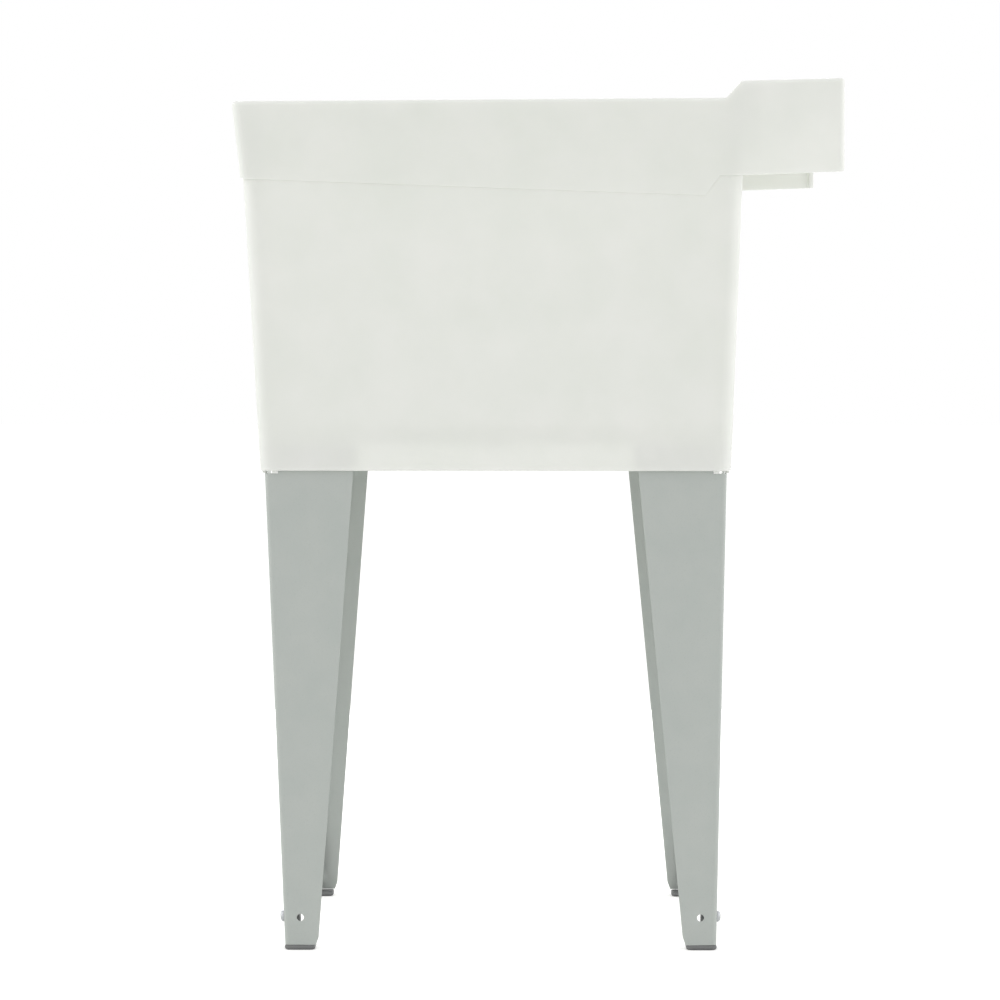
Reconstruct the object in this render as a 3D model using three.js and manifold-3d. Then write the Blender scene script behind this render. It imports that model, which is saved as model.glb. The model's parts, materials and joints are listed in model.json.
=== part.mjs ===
// Utility laundry sink: a moulded plastic tub on four folded steel angle legs with levelling feet.
// Millimetres, +Z up. The origin is on the floor under the middle of the sink.
// The front of the sink is at -Y, the raised back ledge at +Y, the user's right at +X.

import * as THREE from 'three';
import { mergeVertices } from 'three/addons/utils/BufferGeometryUtils.js';
import Module from 'manifold-3d';

const wasm = await Module();
wasm.setup();

// ---------------------------------------------------------------------------
// Driving dimensions
// ---------------------------------------------------------------------------

// Overall size.
const WIDTH = 508;
const DEPTH = 600;
const HEIGHT = 857;

// Rim and raised ledge, as drops from the top of the back edge.
const RIM_FRONT_DROP = 23;
const RIM_BACK_DROP = 19.3;
const LEDGE_FRONT_DROP = 2.7;
const LEDGE_DEPTH = 101;
const STEP_RUN = 15;
const RIM_EDGE_RADIUS = 3.5;

// Apron band round the rim: how far its stepped lower edge hangs below the front of the rim.
const APRON_FRONT_HEIGHT = 76;
const APRON_MIDDLE_HEIGHT = 92;
const APRON_LEDGE_FRONT_HEIGHT = 72.6;
const APRON_LEDGE_BACK_HEIGHT = 68.2;
const APRON_STEP_BACK = 122;
const APRON_STEP_RUN = 15;
const APRON_FRONT_LEAN = 0.113;
const APRON_SIDE_LEAN = 0.034;
const APRON_CORNER_RADIUS = 9;
const LEDGE_CORNER_RADIUS = 5;
const APRON_THICKNESS = 4.5;

// Outer walls of the tub. Their plan is given at one level just under the front apron's edge.
const WALL_PLAN_DROP = 78;
const APRON_FRONT_LAP = 2.3;
const APRON_SIDE_LAP = 1;
const FRONT_WALL_DRAFT = 0.0574;
const BACK_WALL_DRAFT = 0.0354;
const SIDE_WALL_DRAFT = 0.0163;
const BACK_WALL_INSET = 99.3;
const WALL_CORNER_RADIUS = 13.5;
const SKIRT_HEIGHT = 25.2;
const SKIRT_THICKNESS = 4.2;
const SKIRT_EDGE_RADIUS = 2;

// Bowl.
const BOWL_DEPTH = 331;
const BOWL_RIM_THICKNESS = 7;
const BOWL_CORNER_RADIUS = 22;
const FLOOR_FILLET = 18;
const FILLET_CORNER_SHARE = 0.6;
const FLOOR_FALL = 5;
const FLOOR_THICKNESS = 5.5;
const RIM_INNER_RADIUS = 4;

// Raised back ledge: tap holes and soap dishes.
const TAP_HOLE_RADIUS = 16;
const TAP_HOLE_PITCH = 50.8;
const TAP_ROW_BACK = 46;
const SOAP_DISH_LENGTH = 96;
const SOAP_DISH_WIDTH = 56;
const SOAP_DISH_DEPTH = 7;
const SOAP_DISH_CENTRE = 146;
const SOAP_DISH_RADIUS = 12;
const SOAP_DISH_TAPER = 4;
const SOAP_DISH_WALL = 3;
const BACK_LIP_HEIGHT = 36;
const BACK_RETURN_WIDTH = 12;
const POCKET_CORNER_RADIUS = 2;
const GUSSET_THICKNESS = 3;
const GUSSET_REACH = 34;
const GUSSET_CLEAR_OF_EDGE = 18;
const GUSSET_BACKS = [50, 85];

// Folded steel legs.
const LEG_SHEET = 1.5;
const LEG_BEND_RADIUS = 4.5;
const LEG_TOP_WIDTH = 87;
const LEG_FOOT_WIDTH = 32.5;
const LEG_BOTTOM_Z = 5;
const LEG_NOTCH_CLEAR = 3.9;
const LEG_NOTCH_DROP = 2.5;
const LEG_TOE_CHAMFER = 2.5;
const LEG_TOE_CHAMFER_HEIGHT = 9;
const LEG_HOLE_RADIUS = 3.5;
const LEG_HOLE_HEIGHT = 32;
const FRONT_LEG_LEAN = 0.0425;
const BACK_LEG_LEAN = 0.0201;

// Leg sockets moulded inside the skirt.
const SOCKET_WALL = 3;
const SOCKET_DEPTH = 23;
const LOCATING_TAB_WIDTH = 5.6;

// Levelling feet.
const FOOT_PAD_SIZE = 29.4;
const FOOT_PAD_HEIGHT = 4.7;
const FOOT_PAD_PROUD = 0.6;
const FOOT_PAD_RADIUS = 5;
const FOOT_PAD_BULGE_HEIGHT = 2.8;
const FOOT_PAD_TUCK = 1.6;
const FOOT_PAD_TUCK_HEIGHT = 0.8;
const STEM_THICKNESS = 13.7;
const STEM_WIDTH = 20;
const STEM_HEIGHT = 66;
const FOOT_TRAVEL = 22;
const SLOT_WIDTH = 6.8;
const NUT_POCKET_DEPTH = 9.2;

// Foot screws, washers and nuts.
const SCREW_RADIUS = 3;
const SCREW_HEAD_RADIUS = 5.8;
const SCREW_HEAD_HEIGHT = 4;
const SCREW_HEAD_EDGE = 1;
const SCREW_RECESS_SPAN = 6.4;
const SCREW_RECESS_WIDTH = 1.3;
const SCREW_RECESS_DEPTH = 1.5;
const SCREW_END = 2;
const SCREW_END_CHAMFER = 0.8;
const WASHER_RADIUS = 7;
const WASHER_THICKNESS = 1.2;
const NUT_ACROSS_FLATS = 10;
const NUT_SIDES = 6;
const NUT_HEIGHT = 5;

// Drain.
const DRAIN_FLANGE_RADIUS = 38;
const DRAIN_FLANGE_THICKNESS = 2.5;
const DRAIN_FLANGE_BEVEL = 2;
const DRAIN_FLANGE_EDGE = 1.3;
const DRAIN_TUBE_RADIUS = 24;
const DRAIN_WALL = 4;
const DRAIN_LENGTH = 28.9;
const DRAIN_SEAT_DEPTH = 13;
const DRAIN_SEAT_LIP = 1;
const DRAIN_BOSS_HEIGHT = 5;
const STRAINER_BAR = 3;
const STRAINER_RAISE = 2;
const GASKET_THICKNESS = 3;
const FRICTION_WASHER_THICKNESS = 1;
const LOCKNUT_HEIGHT = 9;
const LOCKNUT_RADIUS = 35;
const LOCKNUT_WALL = 6;
const LOCKNUT_FLANGE_HEIGHT = 3;
const LOCKNUT_LUGS = 6;
const LOCKNUT_LUG_WIDTH = 5;
const RIB_THICKNESS = 3;
const RIB_HEIGHT = 12;

// Stopper.
const STOPPER_CAP_RADIUS = 27;
const STOPPER_CAP_THICKNESS = 4;
const STOPPER_EDGE = 2;
const STOPPER_PLUG_DEPTH = 11;
const STOPPER_PLUG_CHAMFER = 1;
const EYE_RADIUS = 4.2;
const EYE_WIRE = 1.1;
const EYE_FOOT_RADIUS = 6;
const EYE_FOOT_THICKNESS = 1.6;
const RING_RADIUS = 11;
const RING_WIRE = 1;

// Clearances and mesh fineness.
const GAP = 0.3;
const HOLE_CLEARANCE = 0.4;
const LEAST_RADIUS = 1;
const LEAST_BEND_RADIUS = 0.6;
const CORNER_STEPS = 5;
const EDGE_STEPS = 3;
const FILLET_STEPS = 4;
const BEND_STEPS = 4;
const WIRE_STEPS = 8;
const SMALL_ROUND_STEPS = 20;
const ROUND_STEPS = 32;
const WIDE_ROUND_STEPS = 48;

// How far a cut runs past a face into the open, and how far a join or a shallow cut laps a face.
const PAST = 5;
const LAP = 1;

// Points closer than this are one. Lines across the sink keep this margin from a corner, and this spread.
const MERGE_DISTANCE = 1e-4;
const BREAK_LINE_MARGIN = 0.5;
const BREAK_LINE_SPREAD = 0.01;

// ---------------------------------------------------------------------------
// Values worked out from the driving dimensions
// ---------------------------------------------------------------------------

const SIDE_X = WIDTH / 2;
const FRONT_Y = -DEPTH / 2;
const BACK_Y = DEPTH / 2;

// Heights of the rim, the ledge and the apron's lower edge.
const RIM_FRONT_Z = HEIGHT - RIM_FRONT_DROP;
const RIM_BACK_Z = HEIGHT - RIM_BACK_DROP;
const LEDGE_FRONT_Z = HEIGHT - LEDGE_FRONT_DROP;
const APRON_FRONT_Z = RIM_FRONT_Z - APRON_FRONT_HEIGHT;
const APRON_MIDDLE_Z = RIM_FRONT_Z - APRON_MIDDLE_HEIGHT;
const APRON_LEDGE_FRONT_Z = RIM_FRONT_Z - APRON_LEDGE_FRONT_HEIGHT;
const APRON_LEDGE_BACK_Z = RIM_FRONT_Z - APRON_LEDGE_BACK_HEIGHT;

// Plan lines of the outer walls at their own level.
const WALL_PLAN_Z = RIM_FRONT_Z - WALL_PLAN_DROP;
const WALL_SIDE_X = SIDE_X - APRON_SIDE_LEAN * WALL_PLAN_DROP - APRON_SIDE_LAP;
const WALL_FRONT_Y = FRONT_Y + APRON_FRONT_LEAN * WALL_PLAN_DROP + APRON_FRONT_LAP;
const WALL_BACK_Y = BACK_Y - BACK_WALL_INSET;

// Heights of the bowl's floor and of the skirt's lower edge. The legs reach from there to the floor.
const BOWL_BOTTOM_Z = RIM_FRONT_Z - BOWL_DEPTH;
const FLOOR_EDGE_Z = BOWL_BOTTOM_Z + FLOOR_FALL;
const UNDERSIDE_Z = BOWL_BOTTOM_Z - FLOOR_THICKNESS;
const SKIRT_BOTTOM_Z = UNDERSIDE_Z - SKIRT_HEIGHT;
const STEP_TOP_Y = BACK_Y - LEDGE_DEPTH;
const STEP_FOOT_Y = STEP_TOP_Y - STEP_RUN;
const APRON_STEP_TOP_Y = BACK_Y - APRON_STEP_BACK;
const APRON_STEP_FOOT_Y = APRON_STEP_TOP_Y - APRON_STEP_RUN;
const TAP_ROW_Y = BACK_Y - TAP_ROW_BACK;

/** Outer wall plan at height z: half width, front line and back line. */
function wallPlan(z, inset) {
  const rise = z - WALL_PLAN_Z;
  return {
    halfWidth: WALL_SIDE_X + SIDE_WALL_DRAFT * rise - inset,
    front: WALL_FRONT_Y - FRONT_WALL_DRAFT * rise + inset,
    back: WALL_BACK_Y + BACK_WALL_DRAFT * rise - inset,
  };
}

/** Outer apron plan at height z. The back of the ledge stands upright. */
function apronPlan(z, inset) {
  const drop = RIM_FRONT_Z - z;
  return {
    halfWidth: SIDE_X - APRON_SIDE_LEAN * Math.max(drop, 0) - inset,
    front: FRONT_Y + APRON_FRONT_LEAN * Math.max(drop, 0) + inset,
    back: BACK_Y - inset,
  };
}

/** Straight-line value at y through a list of [y, value] pairs. */
function alongLine(pairs, y) {
  let index = 1;
  while (index < pairs.length - 1 && y > pairs[index][0]) {
    index += 1;
  }
  const [startY, startValue] = pairs[index - 1];
  const [endY, endValue] = pairs[index];
  return startValue + (endValue - startValue) * (y - startY) / (endY - startY);
}

const TOP_LINE = [
  [FRONT_Y, RIM_FRONT_Z],
  [STEP_FOOT_Y, RIM_BACK_Z],
  [STEP_TOP_Y, LEDGE_FRONT_Z],
  [BACK_Y, HEIGHT],
];
const APRON_LINE = [
  [FRONT_Y, APRON_FRONT_Z],
  [APRON_STEP_FOOT_Y, APRON_MIDDLE_Z],
  [APRON_STEP_TOP_Y, APRON_LEDGE_FRONT_Z],
  [BACK_Y, APRON_LEDGE_BACK_Z],
];
const BREAK_LINES = [APRON_STEP_FOOT_Y, APRON_STEP_TOP_Y, STEP_FOOT_Y, STEP_TOP_Y];

const topZ = (y) => alongLine(TOP_LINE, y);
const apronBottomZ = (y) => alongLine(APRON_LINE, y);

// The bowl's inner walls, from the floor to the rim.
const bowlFloorPlan = wallPlan(BOWL_BOTTOM_Z, SKIRT_THICKNESS);
const bowlRimPlan = wallPlan(RIM_FRONT_Z, BOWL_RIM_THICKNESS);
const DRAIN_Y = (bowlFloorPlan.front + bowlFloorPlan.back) / 2;

/** Bowl plan at height z, moved in by inset. */
function bowlPlan(z, inset) {
  const share = (z - BOWL_BOTTOM_Z) / BOWL_DEPTH;
  const between = (key) => bowlFloorPlan[key] + (bowlRimPlan[key] - bowlFloorPlan[key]) * share;
  return {
    halfWidth: between('halfWidth') - inset,
    front: between('front') + inset,
    back: between('back') - inset,
  };
}

// ---------------------------------------------------------------------------
// Solids: lofts, plates and boolean help
// ---------------------------------------------------------------------------

/** Merged-vertex manifold solid of a closed geometry. */
function solidOf(geometry) {
  const bare = geometry.index ? geometry.toNonIndexed() : geometry.clone();
  bare.deleteAttribute('normal');
  bare.deleteAttribute('uv');
  const merged = mergeVertices(bare, MERGE_DISTANCE);
  return new wasm.Manifold(new wasm.Mesh({
    numProp: 3,
    vertProperties: new Float32Array(merged.attributes.position.array),
    triVerts: new Uint32Array(merged.index.array),
  }));
}

/** BufferGeometry of a manifold solid. */
function geometryOf(solid) {
  const mesh = solid.getMesh();
  const geometry = new THREE.BufferGeometry();
  geometry.setAttribute('position', new THREE.BufferAttribute(mesh.vertProperties, 3));
  geometry.setIndex(new THREE.BufferAttribute(mesh.triVerts, 1));
  return geometry;
}

/** Geometry moved to a place, turned first about X and then about Z. */
function placed(geometry, position, turnX = 0, turnZ = 0) {
  const turn = new THREE.Euler(turnX, 0, turnZ, 'ZYX');
  const matrix = new THREE.Matrix4().compose(
    new THREE.Vector3(...position),
    new THREE.Quaternion().setFromEuler(turn),
    new THREE.Vector3(1, 1, 1),
  );
  return geometry.clone().applyMatrix4(matrix);
}

/** Axis-aligned block between two corners. */
function block(low, high) {
  const size = high.map((value, axis) => value - low[axis]);
  const middle = high.map((value, axis) => (value + low[axis]) / 2);
  return solidOf(placed(new THREE.BoxGeometry(...size), middle));
}

/** Upright round bar between two heights. */
function roundBar(radius, x, y, lowZ, highZ, steps = ROUND_STEPS) {
  const bar = new THREE.CylinderGeometry(radius, radius, highZ - lowZ, steps);
  return solidOf(placed(bar, [x, y, (lowZ + highZ) / 2], Math.PI / 2));
}

/** Closed geometry from point loops of equal length, with flat end caps. */
function loftOf(loops) {
  const count = loops[0].length;
  const plan = loops[0].map((point) => new THREE.Vector2(point.x, point.y));
  const ordered = THREE.ShapeUtils.isClockWise(plan) ? loops.map((loop) => [...loop].reverse()) : loops;
  const contour = ordered[0].map((point) => new THREE.Vector2(point.x, point.y));
  const caps = THREE.ShapeUtils.triangulateShape(contour, []);
  const last = (ordered.length - 1) * count;
  const index = [];
  for (const [a, b, c] of caps) {
    index.push(c, b, a, last + a, last + b, last + c);
  }
  index.push(...sideTriangles(ordered.length, count));
  return indexedGeometry(ordered.flat(), index);
}

/** Side faces between neighbouring loops that run counter-clockwise seen from above. */
function sideTriangles(loopCount, count) {
  const index = [];
  for (let level = 0; level < loopCount - 1; level += 1) {
    for (let step = 0; step < count; step += 1) {
      const next = (step + 1) % count;
      const a = level * count + step;
      const b = level * count + next;
      index.push(a, b, b + count, a, b + count, a + count);
    }
  }
  return index;
}

/** Indexed geometry of points and triangles. */
function indexedGeometry(points, index) {
  const geometry = new THREE.BufferGeometry();
  geometry.setFromPoints(points);
  geometry.setIndex(index);
  return geometry;
}

/** Arc points of a plan corner, from one angle to another. */
function arcPoints(centreX, centreY, radius, startAngle, endAngle) {
  const points = [];
  for (let step = 0; step <= CORNER_STEPS; step += 1) {
    const angle = startAngle + (endAngle - startAngle) * step / CORNER_STEPS;
    points.push([centreX + radius * Math.cos(angle), centreY + radius * Math.sin(angle)]);
  }
  return points;
}

/** Quarter round in steps: how far in, and how far up or down, each step lies. */
function quarterRound(radius, steps) {
  const places = [];
  for (let step = 0; step <= steps; step += 1) {
    const angle = step / steps * Math.PI / 2;
    places.push([radius * (1 - Math.sin(angle)), radius * (1 - Math.cos(angle))]);
  }
  return places;
}

/** Right half of a rounded plan from front to back, with a point at each break line. */
function halfOutline(plan, frontRadius, backRadius, heightAt) {
  const side = plan.halfWidth;
  const frontArc = arcPoints(side - frontRadius, plan.front + frontRadius, frontRadius, -Math.PI / 2, 0);
  const backArc = arcPoints(side - backRadius, plan.back - backRadius, backRadius, 0, Math.PI / 2);
  const frontEnd = plan.front + frontRadius;
  const backStart = plan.back - backRadius;
  const lowest = frontEnd + BREAK_LINE_MARGIN;
  const highest = backStart - BREAK_LINE_MARGIN;
  const kept = BREAK_LINES.map((y) => [side, Math.min(Math.max(y, lowest), highest)]);
  const spread = kept.map(([x, y], index) => [x, y - (BREAK_LINES.length - index) * BREAK_LINE_SPREAD]);
  return [...frontArc, ...spread, ...backArc].map(([x, y]) => new THREE.Vector3(x, y, heightAt(y)));
}

/**
 * Closed solid symmetric about the plane x = 0, from right-half outlines.
 * Its end caps are ladders of cross strips, so an end may fold along any line across the sink.
 */
function mirrorLoft(halves) {
  const half = halves[0].length;
  const count = half * 2;
  const loops = halves.map((points) => {
    const left = [...points].reverse().map((point) => new THREE.Vector3(-point.x, point.y, point.z));
    return [...points, ...left];
  });
  const last = (loops.length - 1) * count;
  const index = sideTriangles(loops.length, count);
  for (let step = 0; step < half - 1; step += 1) {
    const right = step;
    const rightNext = step + 1;
    const left = count - 1 - step;
    const leftNext = left - 1;
    index.push(right, leftNext, rightNext, right, left, leftNext);
    index.push(last + right, last + rightNext, last + leftNext);
    index.push(last + right, last + leftNext, last + left);
  }
  return solidOf(indexedGeometry(loops.flat(), index));
}

/** Solid of revolution about an upright axis. The profile is a list of [radius, z]. */
function turned(profile, x, y, steps = ROUND_STEPS) {
  const points = [...profile].map(([radius, z]) => new THREE.Vector2(radius, z));
  const lathe = new THREE.LatheGeometry(points, steps);
  return solidOf(placed(lathe, [x, y, 0], Math.PI / 2));
}

/** Rounded rectangle shape about its centre. */
function roundedShape(length, width, radius) {
  const shape = new THREE.Shape();
  const x = length / 2 - radius;
  const y = width / 2 - radius;
  shape.absarc(x, y, radius, 0, Math.PI / 2);
  shape.absarc(-x, y, radius, Math.PI / 2, Math.PI);
  shape.absarc(-x, -y, radius, Math.PI, Math.PI * 1.5);
  shape.absarc(x, -y, radius, Math.PI * 1.5, Math.PI * 2);
  return shape;
}

/** Loop of a rounded rectangle at a place and height. */
function roundedLoop(length, width, radius, x, y, z) {
  const points = roundedShape(length, width, radius).getPoints(CORNER_STEPS);
  const last = points[points.length - 1];
  const open = last.distanceTo(points[0]) < MERGE_DISTANCE ? points.slice(0, -1) : points;
  return open.map((point) => new THREE.Vector3(point.x + x, point.y + y, z));
}

// ---------------------------------------------------------------------------
// Tub
// ---------------------------------------------------------------------------

/** Outer walls from the skirt's rounded bottom edge up into the apron. */
function outerWalls() {
  const edge = quarterRound(SKIRT_EDGE_RADIUS, EDGE_STEPS - 1);
  const levels = edge.map(([inset, rise]) => [SKIRT_BOTTOM_Z + rise, inset]);
  levels.push([RIM_FRONT_Z - RIM_EDGE_RADIUS * 2, 0]);
  return mirrorLoft(levels.map(([z, inset]) => {
    const plan = wallPlan(z, inset);
    return halfOutline(plan, WALL_CORNER_RADIUS - inset, WALL_CORNER_RADIUS - inset, () => z);
  }));
}

/** Apron band and raised ledge as one block, with the rounded rim edge. */
function apronBlock() {
  const bottom = halfOutline(apronPlan(APRON_MIDDLE_Z, 0), APRON_CORNER_RADIUS, LEDGE_CORNER_RADIUS, () => 0);
  const lowerRing = bottom.map((point) => leaningPoint(point, apronBottomZ(point.y)));
  const rings = [lowerRing];
  for (const [drop, inset] of quarterRound(RIM_EDGE_RADIUS, EDGE_STEPS)) {
    const plan = apronPlan(RIM_FRONT_Z, inset);
    const radius = Math.max(LEDGE_CORNER_RADIUS - inset, LEAST_RADIUS);
    rings.push(halfOutline(plan, APRON_CORNER_RADIUS - inset, radius, (y) => topZ(y) - drop));
  }
  return mirrorLoft(rings);
}

/** Point of the apron's lower edge, drawn in by the apron's lean at its own height. */
function leaningPoint(point, z) {
  const reference = apronPlan(APRON_MIDDLE_Z, 0);
  const actual = apronPlan(z, 0);
  const isFront = point.y < reference.front + APRON_CORNER_RADIUS;
  return new THREE.Vector3(
    point.x + actual.halfWidth - reference.halfWidth,
    isFront ? point.y + actual.front - reference.front : point.y,
    z,
  );
}

/** The bowl's inside, with its fall to the drain, floor fillet and rounded rim. */
function bowlCavity() {
  const rings = [];
  const dish = DRAIN_FLANGE_RADIUS + HOLE_CLEARANCE;
  const dishPlan = { halfWidth: dish, front: DRAIN_Y - dish, back: DRAIN_Y + dish };
  rings.push(halfOutline(dishPlan, dish / 2, dish / 2, () => BOWL_BOTTOM_Z));
  for (const [inset, rise] of quarterRound(FLOOR_FILLET, FILLET_STEPS)) {
    const z = FLOOR_EDGE_Z + rise;
    const radius = BOWL_CORNER_RADIUS - inset * FILLET_CORNER_SHARE;
    rings.push(halfOutline(bowlPlan(z, inset), radius, radius, () => z));
  }
  for (const [drop, flare] of quarterRound(RIM_INNER_RADIUS, EDGE_STEPS)) {
    const radius = BOWL_CORNER_RADIUS + flare;
    rings.push(halfOutline(bowlPlan(RIM_FRONT_Z, -flare), radius, radius, (y) => topZ(y) - drop));
  }
  const radius = BOWL_CORNER_RADIUS + RIM_INNER_RADIUS;
  const plan = bowlPlan(RIM_FRONT_Z, -RIM_INNER_RADIUS);
  rings.push(halfOutline(plan, radius, radius, (y) => topZ(y) + PAST));
  return mirrorLoft(rings);
}

/** The open space inside the skirt, under the bowl's floor. */
function underHollow() {
  const heights = [SKIRT_BOTTOM_Z - PAST, UNDERSIDE_Z];
  return mirrorLoft(heights.map((z) => {
    const radius = WALL_CORNER_RADIUS - SKIRT_THICKNESS;
    return halfOutline(wallPlan(z, SKIRT_THICKNESS), radius, radius, () => z);
  }));
}

/** The open space under the raised ledge, behind the bowl's back wall. */
function ledgeHollow() {
  const low = APRON_MIDDLE_Z - PAST;
  const heights = [low, LEDGE_FRONT_Z - RIM_EDGE_RADIUS];
  return mirrorLoft(heights.map((z, level) => {
    const shell = apronPlan(z, APRON_THICKNESS);
    const front = wallPlan(z, 0).back;
    const plan = { halfWidth: shell.halfWidth, front, back: shell.back };
    const deckZ = (y) => topZ(Math.max(y, STEP_TOP_Y)) - APRON_THICKNESS;
    return halfOutline(plan, POCKET_CORNER_RADIUS, POCKET_CORNER_RADIUS, level === 0 ? () => low : deckZ);
  }));
}

/** Opening in the back of the ledge, between its two returned edges and below its lip. */
function backOpening() {
  const halfWidth = SIDE_X - BACK_RETURN_WIDTH;
  const inner = BACK_Y - APRON_THICKNESS - LAP;
  const low = [-halfWidth, inner, APRON_MIDDLE_Z - PAST];
  return block(low, [halfWidth, BACK_Y + PAST, HEIGHT - BACK_LIP_HEIGHT]);
}

/** Soap dish as a tapered rounded block, grown outwards by a wall: 0 for the recess itself. */
function soapDish(side, wall) {
  const x = side * SOAP_DISH_CENTRE;
  const deck = topZ(TAP_ROW_Y);
  const top = wall > 0 ? deck - APRON_THICKNESS / 2 : deck + PAST;
  const length = SOAP_DISH_LENGTH + wall * 2;
  const width = SOAP_DISH_WIDTH + wall * 2;
  const narrow = SOAP_DISH_TAPER * 2;
  const radius = SOAP_DISH_RADIUS - SOAP_DISH_TAPER + wall;
  const low = deck - SOAP_DISH_DEPTH - wall;
  const bottom = roundedLoop(length - narrow, width - narrow, radius, x, TAP_ROW_Y, low);
  const rim = roundedLoop(length, width, SOAP_DISH_RADIUS + wall, x, TAP_ROW_Y, top);
  return solidOf(loftOf([bottom, rim]));
}

/** Upright stiffening web between the ledge's side apron and its deck. */
function gusset(side, back) {
  const y = BACK_Y - back;
  const wallX = SIDE_X - APRON_THICKNESS / 2;
  const deckZ = topZ(y) - APRON_THICKNESS / 2;
  const lowZ = apronBottomZ(y) + GUSSET_CLEAR_OF_EDGE;
  const shape = new THREE.Shape([
    new THREE.Vector2(wallX, lowZ),
    new THREE.Vector2(wallX, deckZ),
    new THREE.Vector2(wallX - GUSSET_REACH, deckZ),
    new THREE.Vector2(wallX - APRON_THICKNESS, lowZ),
  ]);
  const web = new THREE.ExtrudeGeometry(shape, { depth: GUSSET_THICKNESS, bevelEnabled: false });
  const upright = placed(web, [0, y + GUSSET_THICKNESS / 2, 0], Math.PI / 2);
  if (side > 0) {
    return solidOf(upright);
  }
  return solidOf(upright).mirror([1, 0, 0]);
}

/** Ribs that run under the floor from the drain boss to the skirt. */
function floorRibs() {
  const top = UNDERSIDE_Z + LAP;
  const low = UNDERSIDE_Z - RIB_HEIGHT;
  const half = RIB_THICKNESS / 2;
  const plan = wallPlan(low, SKIRT_THICKNESS / 2);
  const start = DRAIN_FLANGE_RADIUS + HOLE_CLEARANCE;
  return [
    block([start, DRAIN_Y - half, low], [plan.halfWidth, DRAIN_Y + half, top]),
    block([-plan.halfWidth, DRAIN_Y - half, low], [-start, DRAIN_Y + half, top]),
    block([-half, plan.front, low], [half, DRAIN_Y - start, top]),
    block([-half, DRAIN_Y + start, low], [half, plan.back, top]),
  ];
}

/** Boss that thickens the floor round the drain hole. */
function drainBoss() {
  const radius = DRAIN_FLANGE_RADIUS + HOLE_CLEARANCE + RIB_THICKNESS;
  return roundBar(radius, 0, DRAIN_Y, UNDERSIDE_Z - DRAIN_BOSS_HEIGHT, UNDERSIDE_Z + LAP, WIDE_ROUND_STEPS);
}

/** Everything cut for the drain: the flange's seat and the hole for its tube. */
function drainCuts() {
  const seat = DRAIN_FLANGE_RADIUS + HOLE_CLEARANCE;
  const seatZ = BOWL_BOTTOM_Z - DRAIN_FLANGE_THICKNESS;
  const tube = DRAIN_TUBE_RADIUS + HOLE_CLEARANCE;
  const tubeZ = UNDERSIDE_Z - DRAIN_BOSS_HEIGHT - PAST;
  return [
    roundBar(seat, 0, DRAIN_Y, seatZ, BOWL_BOTTOM_Z + LAP, WIDE_ROUND_STEPS),
    roundBar(tube, 0, DRAIN_Y, tubeZ, BOWL_BOTTOM_Z, WIDE_ROUND_STEPS),
  ];
}

/** Round tap holes in the ledge, on standard centres. */
function tapHoles() {
  const low = LEDGE_FRONT_Z - APRON_THICKNESS - PAST;
  return [-1, 0, 1].map((place) => (
    roundBar(TAP_HOLE_RADIUS, place * TAP_HOLE_PITCH, TAP_ROW_Y, low, HEIGHT + PAST)
  ));
}

/** The whole moulded tub. */
function tubSolid() {
  let tub = outerWalls().add(apronBlock());
  tub = tub.subtract(ledgeHollow()).subtract(backOpening());
  for (const side of [-1, 1]) {
    tub = tub.add(soapDish(side, SOAP_DISH_WALL));
    tub = tub.subtract(soapDish(side, 0));
    for (const back of GUSSET_BACKS) {
      tub = tub.add(gusset(side, back));
    }
  }
  tub = tub.subtract(bowlCavity()).subtract(underHollow()).add(drainBoss());
  for (const rib of floorRibs()) {
    tub = tub.add(rib);
  }
  for (const corner of CORNERS) {
    for (const wall of legSocket(corner)) {
      tub = tub.add(wall);
    }
  }
  for (const cut of [...drainCuts(), ...tapHoles()]) {
    tub = tub.subtract(cut);
  }
  return tub;
}

// ---------------------------------------------------------------------------
// Legs and their sockets
// ---------------------------------------------------------------------------

const CORNERS = [
  { name: 'front_left', side: -1, end: -1, lean: FRONT_LEG_LEAN },
  { name: 'front_right', side: 1, end: -1, lean: FRONT_LEG_LEAN },
  { name: 'back_left', side: -1, end: 1, lean: BACK_LEG_LEAN },
  { name: 'back_right', side: 1, end: 1, lean: BACK_LEG_LEAN },
];

// The notch keeps the leg's folded corner out of the skirt's rounded inner corner.
const LEG_NOTCH = WALL_CORNER_RADIUS - SKIRT_THICKNESS + LEG_NOTCH_CLEAR;
const LEG_TOP_Z = UNDERSIDE_Z - GAP;
const LEG_SIDE_X = wallPlan(SKIRT_BOTTOM_Z, SKIRT_THICKNESS).halfWidth - GAP;

/** Y of a leg's folded corner at height z: it leans in towards the floor. */
function legCornerY(corner, z) {
  const plan = wallPlan(SKIRT_BOTTOM_Z, SKIRT_THICKNESS + GAP);
  const top = corner.end < 0 ? plan.front : plan.back;
  return top - corner.end * corner.lean * (SKIRT_BOTTOM_Z - z);
}

/** Flange width at height z, in a straight taper. */
function legWidth(z) {
  const share = (z - LEG_BOTTOM_Z) / (SKIRT_BOTTOM_Z - LEG_BOTTOM_Z);
  return LEG_FOOT_WIDTH + (LEG_TOP_WIDTH - LEG_FOOT_WIDTH) * share;
}

/** World point from distances in from a leg's corner: a along the sink's width, b along its depth. */
function legPoint(corner, a, b, z) {
  const x = corner.side * (LEG_SIDE_X - a);
  return new THREE.Vector3(x, legCornerY(corner, z) - corner.end * b, z);
}

/** Points of a fold's arc about a centre on the leg's diagonal. */
function bendPoints(centre, radius) {
  const points = [];
  for (let step = 0; step <= BEND_STEPS; step += 1) {
    const angle = -Math.PI / 2 - step / BEND_STEPS * Math.PI / 2;
    points.push([centre + radius * Math.cos(angle), centre + radius * Math.sin(angle)]);
  }
  return points;
}

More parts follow.
